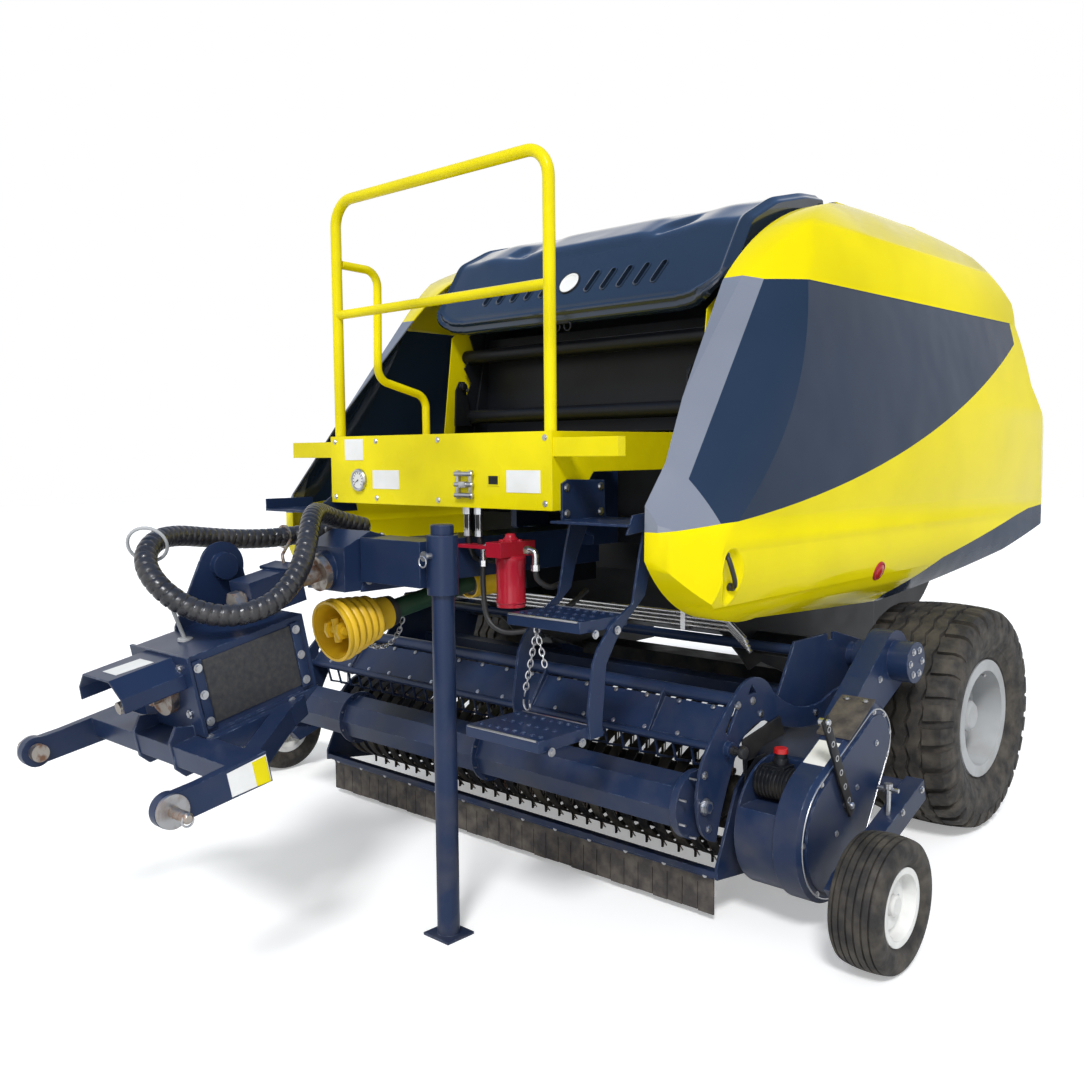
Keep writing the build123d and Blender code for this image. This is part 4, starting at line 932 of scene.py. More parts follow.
def lowest_z(x):
    """The height of the hood's free edge at this place across, with its rounded corners."""
    t = max(0.0, (abs(x) - ROUND_FROM) / (HOOD_X - ROUND_FROM))
    return EDGE_Z + EDGE_RISE * (1 - math.sqrt(max(0.0, 1 - t * t)))


def hood_rise(x, run):
    """How far the moulding stands out at a place across and a run up from the free edge."""
    x = abs(x)
    to_side = HOOD_X - x
    edge = min(run, to_side + 12)
    beads = -9 + 9 * bump(edge, 12, 11) + 8 * bump(edge, 46, 9)
    side_drop = 26 * max(0.0, 1 - to_side / 34) ** 2
    upper = max(0.0, min(1.0, (run - 330) / 60))
    raised_middle = 8 * upper / (1 + math.exp((x - 270) / 14))
    hollow = 20 * math.exp(-(((x - 400) / 62) ** 4 + ((run - 450 - 0.35 * (x - 400)) / 60) ** 4))
    shoulder = 7 * bump(x, 560, 75) * upper
    return beads - side_drop + raised_middle - hollow + shoulder


def hood_point(x, t):
    """A point of the hood: across, and from the free edge (0) to the hinge (1)."""
    last = len(hood_line) - 1
    first = next(i for i, p in enumerate(hood_line) if p.y >= lowest_z(x) - 0.01)
    place = first + t * (last - first)
    i = min(int(place), last - 1)
    ahead = (hood_line[i + 1] - hood_line[i]).normalized()
    here = hood_line[i].lerp(hood_line[i + 1], place - i)
    here += Vector((-ahead.y, ahead.x)) * hood_rise(x, (place - first) / last * hood_run)
    return at(x, here.x, here.y)


# %% Hood skin
ACROSS = 123
ALONG = 92
CROWDING = 0.92                    # columns stand closer together towards the sides
LIP = (Vector((0, 0.022, -0.004)), Vector((0, 0.030, 0.02)))

bm = bmesh.new()
grid = []
for i in range(ACROSS):
    swing = math.sin(math.pi / 2 * (2 * i / (ACROSS - 1) - 1) * CROWDING)
    x = HOOD_X * swing / math.sin(math.pi / 2 * CROWDING)
    column = vertices(bm, [hood_point(x, (k / (ALONG - 1)) ** 1.25) for k in range(ALONG)])
    lip = vertices(bm, [column[0].co + step for step in LIP])
    grid.append(lip[::-1] + column)
walls = [vertices(bm, [v.co + Vector((-s * 0.004, 0.02, -0.05)) for v in column])
         for column, s in ((grid[0], -1), (grid[-1], 1))]
grid = [walls[0]] + grid + [walls[1]]
for one, two in zip(grid, grid[1:]):
    for k in range(len(one) - 1):
        bm.faces.new((one[k], two[k], two[k + 1], one[k + 1]))
bmesh.ops.recalc_face_normals(bm, faces=bm.faces)
if sum(face.normal.z * face.calc_area() for face in bm.faces) < 0:
    bmesh.ops.reverse_faces(bm, faces=bm.faces)
hood_mesh = plain_mesh("hood_skin", bm)
print("hood faces", len(hood_mesh.polygons))

# %% Louvres
FACE_AT = (-969, 2148)
FACE_SLOPE = math.atan2(140, 85)
VENTS = [(s * (120 + 80 * i), -6) for s in (1, -1) for i in range(5)]
VENT_LEAN = math.radians(72)
VENT_SIZE = (98, 23)
HOOD_THICKNESS = 0.005


def hood_face(u, v, w):
    """On the hood's front slope: u across, v up the slope, w out of it."""
    return at(u, FACE_AT[0] + v * math.cos(FACE_SLOPE) - w * math.sin(FACE_SLOPE),
              FACE_AT[1] + v * math.sin(FACE_SLOPE) + w * math.cos(FACE_SLOPE))


def vent_outline(middle, wider=0, steps=8):
    """A round-ended leaning slot, made wider all round by a margin."""
    length, width = VENT_SIZE[0] + wider, VENT_SIZE[1] + wider
    c, s = math.cos(VENT_LEAN), math.sin(VENT_LEAN)
    done = []
    for end, first in ((1, -90), (-1, 90)):
        for k in range(steps + 1):
            a = math.radians(first + 180 * k / steps)
            u = end * (length - width) / 2 + width / 2 * math.cos(a)
            v = width / 2 * math.sin(a)
            done.append((middle[0] + u * c - v * s, middle[1] + u * s + v * c))
    return done


def cut_by(mesh, cutters, name, thickness=0.0):
    """A mesh with the cutters taken out of it, after it has been thickened if a thickness is given."""
    bmesh.ops.recalc_face_normals(cutters, faces=cutters.faces)
    skin_object = bpy.data.objects.new(name + "_skin", mesh)
    cutter = bpy.data.objects.new(name + "_cutter", plain_mesh(name + "_cutter", cutters))
    for item in (skin_object, cutter):
        bpy.context.scene.collection.objects.link(item)
    if thickness:
        thick = skin_object.modifiers.new("thickness", "SOLIDIFY")
        thick.thickness = thickness
        thick.offset = -1
    cut = skin_object.modifiers.new("cut", "BOOLEAN")
    cut.object = cutter
    cut.solver = "EXACT"
    view = bpy.context.evaluated_depsgraph_get()
    result = bpy.data.meshes.new_from_object(skin_object.evaluated_get(view))
    for item in (skin_object, cutter):
        bpy.data.objects.remove(item)
    print(name, "cut:", len(mesh.polygons), "faces became", len(result.polygons))
    return result


cutters = bmesh.new()
for vent in VENTS:
    slab(cutters, hood_face, vent_outline(vent), -60, 40)
cut_mesh = cut_by(hood_mesh, cutters, "hood", HOOD_THICKNESS)
hood_shell = finish_piece("hood_shell", cut_mesh, slate_gloss, "hood", 28)
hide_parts("hood")

bm = bmesh.new()
for vent in VENTS:
    loops = ((10, -9), (10, -6), (0, -4.5), (-2, -34))       # margin, and height over the hood's slope
    skin(bm, [vertices(bm, [hood_face(u, v, w) for u, v in vent_outline(vent, wider)])
              for wider, w in loops])
finish_piece("louvre_rims", bm, slate_gloss, "hood")

# %% Badge and latch
badge_at = hood_face(0, 0, -12)
badge_out = hood_face(0, 0, 1) - hood_face(0, 0, 0)
bm = bmesh.new()
turn(bm, badge_at, badge_out, ((0, 46), (7, 46), (9, 44), (9, 36), (7, 34), (7, 0), (0, 0)), 48)
finish_piece("round_badge", bm, plate_white, "hood")
bm = bmesh.new()
turn(bm, badge_at, badge_out, ((4, 50), (8, 50), (9.5, 48.5), (9.5, 46.5), (4, 46.5)), 48, closed=True)
finish_piece("badge_rim", bm, black_plastic, "hood")
bm = bmesh.new()
for x in (-28, 28):
    rod(bm, circle(front, (x, 1972), 17, -1008), 3.2, 8, closed=True)
box(bm, front, (0, 1990), (70, 16), -1014, -1002)
latch = finish_piece("latch_rings", bm, black_paint, "hood")
print("latch faces", len(latch.data.polygons))

# %% [markdown]
# The side doors keep the curves of their CAD shells. What is added is what a hand would touch: a moulded
# teardrop recess with a grab handle at the front, and a round reflector in a rim. A teardrop is cut out of
# the shell with a Boolean, and a bowl is lofted into the hole, following the shell by cast rays.

# %% Door recess
RECESS_AT = (-1456, 1122)
RECESS_POINTS = 40
BOWL = ((1.05, -1.5), (1.02, 1.2), (0.96, 0.6), (0.88, -9), (0.76, -17), (0.5, -20), (0.02, -21))


def shell(name, s, y, z):
    """How far out the door's shell stands at this place, and the way it faces there."""
    place, normal = cast("door_" + name, at(s * 2000, y, z), outward(-s))
    return place.x * 1000, normal


def on_shell(name, s, y, z, depth):
    """A point that stands this far out of the door's shell."""
    return at(shell(name, s, y, z)[0] + s * depth, y, z)


def teardrop(grow):
    """The recess outline in the side view: round above, drawn to a tip below."""
    done = []
    for a in turns(RECESS_POINTS):
        reach = (72 + 34 * max(0.0, math.cos(a - 4.6)) ** 5) * grow
        done.append((RECESS_AT[0] + 0.78 * reach * math.cos(a), RECESS_AT[1] + reach * math.sin(a)))
    return done


def recessed_door(name, s):
    """The door's shell with the recess cut, and its bowl."""
    door = "door_" + name
    out_x = shell(name, s, *RECESS_AT)[0]
    punch = bmesh.new()
    slab(punch, side, teardrop(0.97), out_x - 70, out_x + 70)
    door_mesh = cut_by(nodes[door].data.copy(), punch, door)
    door_shell = finish_piece("door_shell_" + name, door_mesh, yellow_gloss, door, 30)
    bm = bmesh.new()
    rings = [vertices(bm, [on_shell(name, s, y, z, depth) for y, z in teardrop(grow)])
             for grow, depth in BOWL]
    skin(bm, rings)
    bm.faces.new(rings[-1])
    finish_piece("handle_dish_" + name, bm, yellow_gloss, door, 60)
    print("door shell at the handle", round(out_x), "mm out")
    return door_shell


# %% Door handle and reflector
GRIP = ((-1478, 1172, -14), (-1488, 1166, 4), (-1484, 1140, 11), (-1462, 1100, 11), (-1446, 1078, 4),
        (-1438, 1074, -14))
GRIP_FEET = ((-1478, 1172), (-1438, 1074))
GRIP_FOOT = ((0, 13), (16, 12), (19, 10), (19, 0))
REFLECTOR_AT = (-465, 1038)
LENS = ((-6, 30), (4, 30), (7, 26), (8.5, 14), (9, 0))
LENS_RIM = ((-6, 38), (3, 37), (6, 34), (6, 30.2), (-6, 30.2))


def handle_and_reflector(name, s):
    """What stands on the door's shell."""
    door = "door_" + name
    bm = bmesh.new()
    rod(bm, smooth_line([on_shell(name, s, y, z, lift) for y, z, lift in GRIP], 5), 7.5, 12)
    for y, z in GRIP_FEET:
        turn(bm, on_shell(name, s, y, z, -21), outward(s), GRIP_FOOT, 20)
    finish_piece("door_handle_" + name, bm, black_plastic, door)
    x, facing = shell(name, s, *REFLECTOR_AT)
    reflector_at = at(x, *REFLECTOR_AT)
    bm = bmesh.new()
    turn(bm, reflector_at, facing, LENS)
    finish_piece("reflector_" + name, bm, lamp_red, door)
    bm = bmesh.new()
    turn(bm, reflector_at, facing, LENS_RIM, closed=True)
    finish_piece("reflector_rim_" + name, bm, red_paint, door)


for name, s in SIDES:
    door_shell = recessed_door(name, s)
    handle_and_reflector(name, s)
    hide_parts("door_" + name)     # last, because a replaced node can't be met by a ray

# %% [markdown]
# The headstock is welded plate, so its fittings are flat things held by bolts: a rubber apron under two
# clamping strips on the left, a pair of blank plates where signs would go, and washers on the pins.
# They are drawn in the headstock's own tilted side view, so that they lie square on it.

# %% Side apron and its bolts
APRON = ((-336, -268), (-336, -82), (18, -82), (18, -268))
STRIPS_AT = (-322, 4)

bm = bmesh.new()
slab(bm, head_side, APRON, 150, 154)
finish_piece("side_apron", bm, apron_rubber, "headstock", bevel=1.2)
bm = bmesh.new()
for u in STRIPS_AT:
    box(bm, head_side, (u, -176), (30, 200), 154, 160)
finish_piece("apron_strips", bm, navy, "headstock", bevel=1.2)
heads = [(head_side(u, v, 160), LEFTWARD) for u in STRIPS_AT for v in (-255, -176, -97)]
heads += [(head_side(u, v, 162), LEFTWARD) for u, v in ((-335, -300), (-60, -300), (-190, -312))]
bolts("headstock_bolts", heads, 9, "headstock")
nose_out = (head_side(-400, 0, 0) - head_side(-300, 0, 0)).normalized()
heads = [(head_side(-352, v, x), nose_out) for x in (-110, 110) for v in (-230, -95)]
bolts("nose_bolts", heads, 9, "headstock")

# %% Blank plates
PLATE = ((-440, -372), (-440, -306), (-322, -304), (-322, -378))
PLATE_BAND = ((-366, -376), (-366, -308), (-324, -307), (-324, -380))
GUARD_PLATE = ((-500, -28), (-500, 50), (-395, 62), (-395, -16))
PLATE_THICKNESS = 0.0011

bm = bmesh.new()
slab(bm, head_side, PLATE, 415, 416.5)
finish_piece("arm_plate", bm, plate_white, "headstock")
bm = bmesh.new()
slab(bm, head_side, PLATE_BAND, 416.4, 417)
finish_piece("arm_plate_band", bm, yellow, "headstock")
bm = bmesh.new()
head_up = (head_side(0, 100, 0) - head_side(0, 0, 0)).normalized()
corners = [cast("input_guard", head_side(u, 300, w), -head_up)[0] for u, w in GUARD_PLATE]
under = vertices(bm, corners)
over = vertices(bm, [place + head_up * PLATE_THICKNESS for place in corners])
bm.faces.new(over)
bm.faces.new(under[::-1])
skin(bm, [under, over])
finish_piece("guard_plate", bm, plate_white, "headstock")
print("guard plate corners", [[round(v, 3) for v in place] for place in corners])

# %% Arm ends
ARM_END = (-2920, 612)
EYE = ((-15.5, 16), (-15.5, 44), (15.5, 44), (15.5, 16))

bm = bmesh.new()
for x in (410, -410):
    turn(bm, side(*ARM_END, x), LEFTWARD, EYE, 40, closed=True)
finish_piece("arm_eyes", bm, worn_steel, "headstock", bevel=0.8)
bm = bmesh.new()
for x in (492, -492):
    rod(bm, circle(side, (-2920, 606), 15, x), 2.6, 8, closed=True)
finish_piece("lynch_rings", bm, zinc, "headstock")
print("arm ends at", ARM_END)

# %% [markdown]
# A thin bar stands on the headstock and ends in a ring that holds the sleeve's front loop. It rides on
# the headstock. The ring is set on the sleeve's own line, at the point that is nearest to its place in
# the photograph.

# %% Hose bar
RING_NEAR = at(-110, -2690, 1212)
RING_R = 56
RING_RAISED = Vector((0, 0, 0.018))
BAR_FOOT = head_side(-250, -62, -20)

ring_at = min(range(1, len(hose_route) - 1), key=lambda i: (hose_route[i] - RING_NEAR).length)
way = (hose_route[ring_at + 1] - hose_route[ring_at - 1]).normalized()
across = way.orthogonal().normalized()
ring = ring_about(hose_route[ring_at] + RING_RAISED, across, way.cross(across), RING_R, 28)
low_point = min(ring, key=lambda p: p.z)
bm = bmesh.new()
rod(bm, ring, 5, 10, closed=True)
rod(bm, [BAR_FOOT, low_point], 6, 10)
turn(bm, BAR_FOOT, UPWARD, ((-2, 22), (6, 22), (8, 20), (8, 0)), 24)
finish_piece("hose_bar", bm, grey_paint, "headstock")
print("hose bar reaches", round((low_point - BAR_FOOT).length, 3), "m")

# %% [markdown]
# The driveline guard is a bellows cone of yellow plastic over the joint. Its ribs are turned into one
# profile; inside sits a yellow fork with its cross, seen through the open mouth. A chain holds it still.


# %% Chain
def chain(bm, line, step=0.0176):
    """Oval links laid along a line of points, each turned a quarter from the last."""
    spare, number = 0.0, 0
    for one, two in zip(line, line[1:]):
        reach = (two - one).length
        way = (two - one).normalized()
        while spare < reach:
            middle = one + way * spare
            lean = way.orthogonal().normalized()
            if number % 2:
                lean = way.cross(lean)
            link = [middle + way * 0.0125 * math.cos(a) + lean * 0.0075 * math.sin(a) for a in turns(14)]
            rod(bm, link, 2.3, 6, closed=True)
            spare += step
            number += 1
        spare -= reach


# %% Driveline
SHAFT_START = at(0, -2060, 925)
SHAFT_END = at(0, -1380, 1040)
HUB_PROFILE = ((-34, 0), (-34, 26), (-20, 34), (10, 36), (30, 30), (60, 28))
FORK = ((-70, -24), (-78, 0), (-70, 24), (-20, 30), (0, 30), (0, -30), (-20, -30))
BELLOWS = 5

cone_profile = [(-76, 92), (-76, 101), (-68, 103)]
for k in range(BELLOWS):
    t = k / BELLOWS
    here = -58 + 156 * t
    r = 99 - 32 * t
    cone_profile += [(here, r), (here + 8, r + 5), (here + 15, r + 5), (here + 22, r - 1)]
cone_profile += [(104, 64), (128, 58), (150, 56), (150, 48), (100, 58), (-60, 91)]
shaft_way = (SHAFT_END - SHAFT_START).normalized()
shaft_up = shaft_way.cross(LEFTWARD).normalized()


def fork_view(u, v, w):
    """Along the driveline: u along it, v up, w across."""
    return SHAFT_START + (shaft_way * u + shaft_up * -v + LEFTWARD * w) / 1000


bm = bmesh.new()
turn(bm, SHAFT_START, shaft_way, cone_profile, 56, closed=True)
finish_piece("bellows_cone", bm, guard_yellow, "chassis", 40)
bm = bmesh.new()
turn(bm, SHAFT_START, shaft_way, HUB_PROFILE, 28)
for w in (-36, 24):
    slab(bm, fork_view, FORK, w, w + 12)
turn(bm, fork_view(-52, 0, 0), LEFTWARD, ((-50, 0), (-50, 13), (50, 13), (50, 0)), 20)
turn(bm, fork_view(-52, 0, 0), shaft_up, ((-40, 0), (-40, 13), (40, 13), (40, 0)), 20)
finish_piece("shaft_fork", bm, guard_yellow, "chassis")
print("cone profile points", len(cone_profile))

# %% Guard bearings and chain
FRONT_BEARING = ((148, 36), (148, 52), (160, 54), (176, 52), (180, 40), (180, 36))
REAR_BEARING = ((-150, 36), (-146, 48), (-130, 50), (-126, 36))
HANGING = ((0, -1838, 914), (4, -1862, 872), (8, -1905, 843), (6, -1955, 838), (0, -1992, 858))

bm = bmesh.new()
turn(bm, SHAFT_START, shaft_way, FRONT_BEARING, closed=True)
turn(bm, SHAFT_END, shaft_way, REAR_BEARING, closed=True)
finish_piece("guard_bearings", bm, black_plastic, "chassis")
bm = bmesh.new()
chain(bm, smooth_line([at(*place) for place in HANGING], 4))
links = finish_piece("guard_chain", bm, zinc, "chassis")
print("chain faces", len(links.data.polygons))

# %% [markdown]
# The platform's front sheet carries a dial, three blank white plates, a catch and a square hole. They are
# set where the photograph shows them on that sheet. Below it, two hoses come down in bright fittings.

# %% Dial
SHEET_Y = -1700.0
DIAL = (-398, 1387)
CASE_PROFILE = ((0, 42), (10, 42), (14, 39), (14, 33), (9, 32), (9, 0))
MARKS = 11
MARK_HALF = 1.2                    # half a mark's width
MARK_FROM, MARK_TO = 22, 29        # a mark's reach from the dial's middle

bm = bmesh.new()
turn(bm, front(*DIAL, SHEET_Y), FORWARD, CASE_PROFILE, 40)
finish_piece("dial_case", bm, zinc, "chassis")
bm = bmesh.new()
turn(bm, front(*DIAL, SHEET_Y - 9.3), FORWARD, ((0, 31), (1.5, 31), (1.5, 0)), 40)
finish_piece("dial_face", bm, plate_white, "chassis")
bm = bmesh.new()
for k in range(MARKS):
    a = math.radians(-130 + 26 * k)
    u, v = math.sin(a), math.cos(a)
    corners = ((MARK_FROM, -MARK_HALF), (MARK_TO, -MARK_HALF), (MARK_TO, MARK_HALF), (MARK_FROM, MARK_HALF))
    outline = [(DIAL[0] + reach * u + half * v, DIAL[1] + reach * v - half * u) for reach, half in corners]
    slab(bm, front, outline, SHEET_Y - 11.6, SHEET_Y - 10.6)
needle = [(DIAL[0] + u, DIAL[1] + v) for u, v in ((-20, -12), (3, -3), (3, 3))]
slab(bm, front, needle, SHEET_Y - 12.4, SHEET_Y - 10.9)
finish_piece("dial_marks", bm, black_plastic, "chassis")
print("dial marks", MARKS)

# %% Plates, catch and hole
HOLE = (314, 1394)
BLANKS = ((-245, 1390, 150, 68), (450, 1391, 150, 72), (-430, 1500, 110, 78))

bm = bmesh.new()
for x, z, w, h in BLANKS:
    box(bm, front, (x, z), (w, h), SHEET_Y - 1.6, SHEET_Y)
finish_piece("blank_plates", bm, plate_white, "chassis")
bm = bmesh.new()
for x in (150, 212):
    box(bm, front, (x, 1378), (12, 96), SHEET_Y - 12, SHEET_Y)
for z in (1342, 1378, 1414):
    turn(bm, at(140, SHEET_Y - 12, z), LEFTWARD, ((0, 8), (84, 8), (88, 5), (88, 0)), 16)
box(bm, front, (181, 1378), (30, 20), SHEET_Y - 22, SHEET_Y - 4)
finish_piece("catch", bm, zinc, "chassis", bevel=1.0)
# The square hole is not cut: near-black plates on the sheet, inside a yellow rim, are painted shade for the
# hole's inside.
for name, size, near, far, finish in (("square_hole", (46, 30), 0.6, 0.0, painted_hole_shade),
                                      ("hole_rim", (54, 38), 2.0, 0.4, yellow),
                                      ("hole_shade", (44, 28), 2.4, 1.9, painted_hole_shade)):
    bm = bmesh.new()
    box(bm, front, HOLE, size, SHEET_Y - near, SHEET_Y - far)
    finish_piece(name, bm, finish, "chassis")
heads = [(at(x, SHEET_Y, z), FORWARD) for x in (-548, -300, 40, 545) for z in (1530, 1322)]
bolts("sheet_bolts", heads, 7, "chassis")

# %% Hoses below the sheet
HOSES_X = (121, 177)
HOSE_DOWN = ((0, -1640, 1300), (0, -1640, 1215), (-10, -1600, 1120), (-60, -1450, 1100), (-80, -1300, 1120))
HOSE_END = ((-14, 0), (-14, 13), (6, 13), (8, 11), (60, 11), (62, 15), (86, 15), (88, 0))

bm = bmesh.new()
for x in HOSES_X:
    rod(bm, smooth_line([at(x + aside, y, z) for aside, y, z in HOSE_DOWN]), 9, 12)
finish_piece("sheet_hoses", bm, black_plastic, "chassis")
bm = bmesh.new()
for x in HOSES_X:
    turn(bm, at(x, -1640, 1212), UPWARD, HOSE_END, 6)
finish_piece("hose_ends", bm, zinc, "chassis")
print("hoses below the sheet", len(HOSES_X))

# %% [markdown]
# The steps are folded sheet punched with raised teeth, so a boot doesn't slip. One tooth is a small ring
# with a burst rim; the row tree repeats it along a step, and the rows are set beside each other.

# %% Steps
STEPS = ((-1895, -1680, 1000), (-2070, -1840, 690))      # front edge, back edge and height
STEP_X = 710
TOOTH = ((0, 9.5), (3.2, 7.4), (3.6, 6.6), (0.6, 6.0), (0.4, 0))
TOOTH_PITCH = 34

bm = bmesh.new()
turn(bm, Vector((0, 0, 0)), UPWARD, TOOTH, 12)
tooth = plain_mesh("step_tooth", bm)
for number, (y_front, y_back, top) in enumerate(STEPS):
    grip = bmesh.new()
    for row, y in enumerate((y_front + 38, (y_front + y_back) / 2, y_back - 38)):
        count = 8 - row % 2
        values = {"Count": count, "Step": LEFTWARD * TOOTH_PITCH / 1000, "Finish": zinc}
        teeth = repeated("teeth", tooth, row_tree, values)
        teeth.transform(Matrix.Translation(at(STEP_X - TOOTH_PITCH / 2 * (count - 1), y, top)))
        grip.from_mesh(teeth)
        bpy.data.meshes.remove(teeth)
    finish_piece("step_teeth_" + str(number), grip, navy, "chassis", 30)
    bm = bmesh.new()
    for y in (y_front, y_back):
        rod(bm, [at(572, y, top - 1), at(848, y, top - 1)], 3.4, 8)
    finish_piece("step_edges_" + str(number), bm, zinc, "chassis")
print("steps", len(STEPS))

# %% Ladder bolts and chain
LADDER_BOLTS = ((-1840, 960), (-1740, 960), (-2030, 655), (-1900, 655))
CHAIN_TOP = at(640, -1845, 952)
HOOK = ((618, -1880, 740), (618, -1880, 722), (630, -1880, 708), (642, -1880, 716), (640, -1880, 730))

heads = [(at(583, y, z), LEFTWARD) for y in (-1640, -1475) for z in (1290, 1372)]
heads += [(at(868, y, z), LEFTWARD) for y, z in LADDER_BOLTS]
bolts("ladder_bolts", heads, 9, "chassis")
bm = bmesh.new()
chain(bm, [CHAIN_TOP, at(618, -1880, 745)])
chain(bm, [CHAIN_TOP, at(676, -1850, 850)])
rod(bm, smooth_line([at(*place) for place in HOOK], 5), 3.2, 8)
finish_piece("step_chain", bm, zinc, "chassis")

# %% [markdown]
# The filter is a red casting with a bolted head, two bright elbows and a black hose loop.

# %% Filter body
FILTER = (330, -1640)
FILTER_HEAD_Z = 1190
BODY = ((8, 0), (8, 22), (16, 24), (16, 44), (24, 50.5), (34, 50.5), (40, 48.6), (150, 48.6), (156, 51),
        (176, 51), (182, 46), (182, 0))
KNOB = ((-2, 26), (8, 25), (16, 18), (22, 17), (26, 13), (26, 0))

bm = bmesh.new()
turn(bm, at(*FILTER, 960), UPWARD, BODY, 40)
for k in range(4):
    a = math.pi / 4 + k * math.pi / 2
    stud = at(FILTER[0] + 30 * math.cos(a), FILTER[1] + 30 * math.sin(a), FILTER_HEAD_Z)
    turn(bm, stud, UPWARD, ((-4, 9), (4, 9), (6, 7), (6, 0)), 14)
turn(bm, at(*FILTER, FILTER_HEAD_Z), UPWARD, KNOB, 24)
body = finish_piece("filter_body", bm, red_paint, "chassis")
print("filter faces", len(body.data.polygons))

# %% Filter elbows and hoses
HOSE_LEFT = ((454, -1640, 1070), (458, -1580, 1040), (440, -1470, 1060))
HOSE_RIGHT = ((206, -1650, 1030), (222, -1650, 930), (270, -1640, 885), (330, -1610, 880),
              (400, -1560, 905), (440, -1480, 960), (440, -1380, 1010))
ELBOW = ((0, 0), (0.028, 0), (0.04, -0.012), (0.04, -0.05))          # outwards and up, in metres

bm = bmesh.new()
for s in (1, -1):
    start = at(FILTER[0] + s * 82, FILTER[1] - 10, 1165)
    elbow = [start + Vector((s * out, 0, up)) for out, up in ELBOW]
    rod(bm, smooth_line(elbow, 5), 11, 12)
    turn(bm, start + outward(s) * 0.006, outward(s), ((-8, 15), (8, 15), (10, 12), (10, 0)), 6)
    turn(bm, elbow[-1], UPWARD, ((-16, 0), (-16, 14), (4, 14), (4, 0)), 6)
finish_piece("filter_elbows", bm, pipe_steel, "chassis")
bm = bmesh.new()
for aside, places in ((-122, HOSE_RIGHT), (122, HOSE_LEFT)):
    start = at(FILTER[0] + aside, FILTER[1] - 10, 1110)
    rod(bm, smooth_line([start] + [at(*place) for place in places], 7), 9.5, 12)
hoses = finish_piece("filter_hoses", bm, black_plastic, "chassis")
print("filter hose faces", len(hoses.data.polygons))

# %% Drawbar fittings
STAND = (430, -2032)
BEAM_BOLTS = ((-2060, 1080), (-1960, 1168), (-1900, 1080), (-1900, 1168))

heads = [(at(s * 108, y, z), outward(s)) for s in (1, -1) for y, z in BEAM_BOLTS]
heads += [(at(x, y, 1215), Vector((0, 0.3, 1))) for x, y in ((-25, -1990), (25, -1940))]
bolts("drawbar_bolts", heads, 9, "chassis")
bm = bmesh.new()
turn(bm, at(*STAND, 1180), FORWARD, ((30, 0), (30, 9), (70, 9), (72, 7), (72, 0)), 16)
turn(bm, at(*STAND, 1180), FORWARD, ((70, 0), (70, 15), (76, 15), (76, 0)), 20)
rod(bm, circle(front, (STAND[0], 1164), 16, -2111), 2.6, 8, closed=True)
finish_piece("stand_pin", bm, zinc, "chassis")
bm = bmesh.new()
turn(bm, at(*STAND, 1262), UPWARD, ((0, 33), (8, 33), (10, 30), (10, 0)), 32)
finish_piece("stand_cap", bm, black_plastic, "stand")

# %% [markdown]
# The pickup throws dust and gets knocked, so its fittings are heavy: a ribbed clutch with a filler cap, a
# drilled lever, a rubber flap over the chain case, and many bolt heads. The case gets a bright bead
# along its rounded edge as a painted highlight: a thin zinc rod that stands in for the light the edge
# catches.

# %% Chain case
REEL_AT = (-1220, 310)
REEL_R = 215
TOP_AT = (-960, 540)
TOP_R = 125
RAY_X = 1260                       # rays that look for the case's rim fall here
RAY_Z = 1400


def case_line(shrink, steps=26):
    """The chain case's outline in the side view, drawn in by a margin."""
    (u1, v1), (u2, v2) = REEL_AT, TOP_AT
    r1, r2 = REEL_R - shrink, TOP_R - shrink
    span = math.hypot(u2 - u1, v2 - v1)
    way = math.atan2(v2 - v1, u2 - u1)
    lean = math.acos((r1 - r2) / span)
    done = []
    for k in range(steps + 1):
        a = way + lean + (2 * math.pi - 2 * lean) * k / steps
        done.append((u1 + r1 * math.cos(a), v1 + r1 * math.sin(a)))
    for k in range(steps + 1):
        a = way - lean + 2 * lean * k / steps
        done.append((u2 + r2 * math.cos(a), v2 + r2 * math.sin(a)))
    return done


def rim_strip(first, last, lift, thick, count=9, curl=0.0):
    """A strip lying on the case's upper rim between two places, drawn in the side view."""
    under = []
    for k in range(count):
        t = k / (count - 1)
        u = first + (last - first) * t
        place, _ = cast("chain_case", at(RAY_X, u, RAY_Z), DOWNWARD)
        under.append((u, place.z * 1000 + lift + curl * t * t))
    return under + [(u, v + thick) for u, v in reversed(under)]


# Painted highlight: a bright zinc rod along the case's rounded edge stands in for the light it catches.
bm = bmesh.new()
rod(bm, [side(u, v, 1301) for u, v in case_line(16)], 2.6, 8, closed=True)
finish_piece("case_edge_highlight", bm, zinc, "pickup")
heads = [(side(u, v, 1300), LEFTWARD) for u, v in case_line(23, 7)[::2]]
heads += [(side(u, v, 1306), LEFTWARD) for u, v in (REEL_AT, TOP_AT, (-1090, 425))]
bolts("case_bolts", heads, 7, "pickup")
bm = bmesh.new()
slab(bm, side, rim_strip(-1268, -1168, 0.2, 1.4), 1216, 1288)
finish_piece("case_plates", bm, plate_white, "pickup")
bm = bmesh.new()
slab(bm, side, rim_strip(-1150, -985, 3, 9, curl=14), 1196, 1312)
finish_piece("case_apron", bm, flap_rubber, "pickup", bevel=1.5)
apron_top = Vector((0, 0, 0.0225))
heads = [(cast("chain_case", at(x, -1000, RAY_Z), DOWNWARD)[0] + apron_top, UPWARD) for x in (1222, 1286)]
bolts("apron_posts", heads, 8, "pickup")

# %% Clutch
CLUTCH = (-1290, 452)
CLUTCH_RIBS = 9
NECK = ((0, 24), (24, 24), (27, 22), (27, 20), (44, 20), (46, 17), (46, 0))
CAP = ((0, 0), (0, 23), (14, 22), (16, 20), (16, 0))
SHIELDS = (((-1345, 520), (-1236, 520), (-1236, 392), (-1345, 392), (-1356, 450)),
           ((-1372, 590), (-1150, 626), (-1120, 560), (-1262, 545), (-1360, 480)))

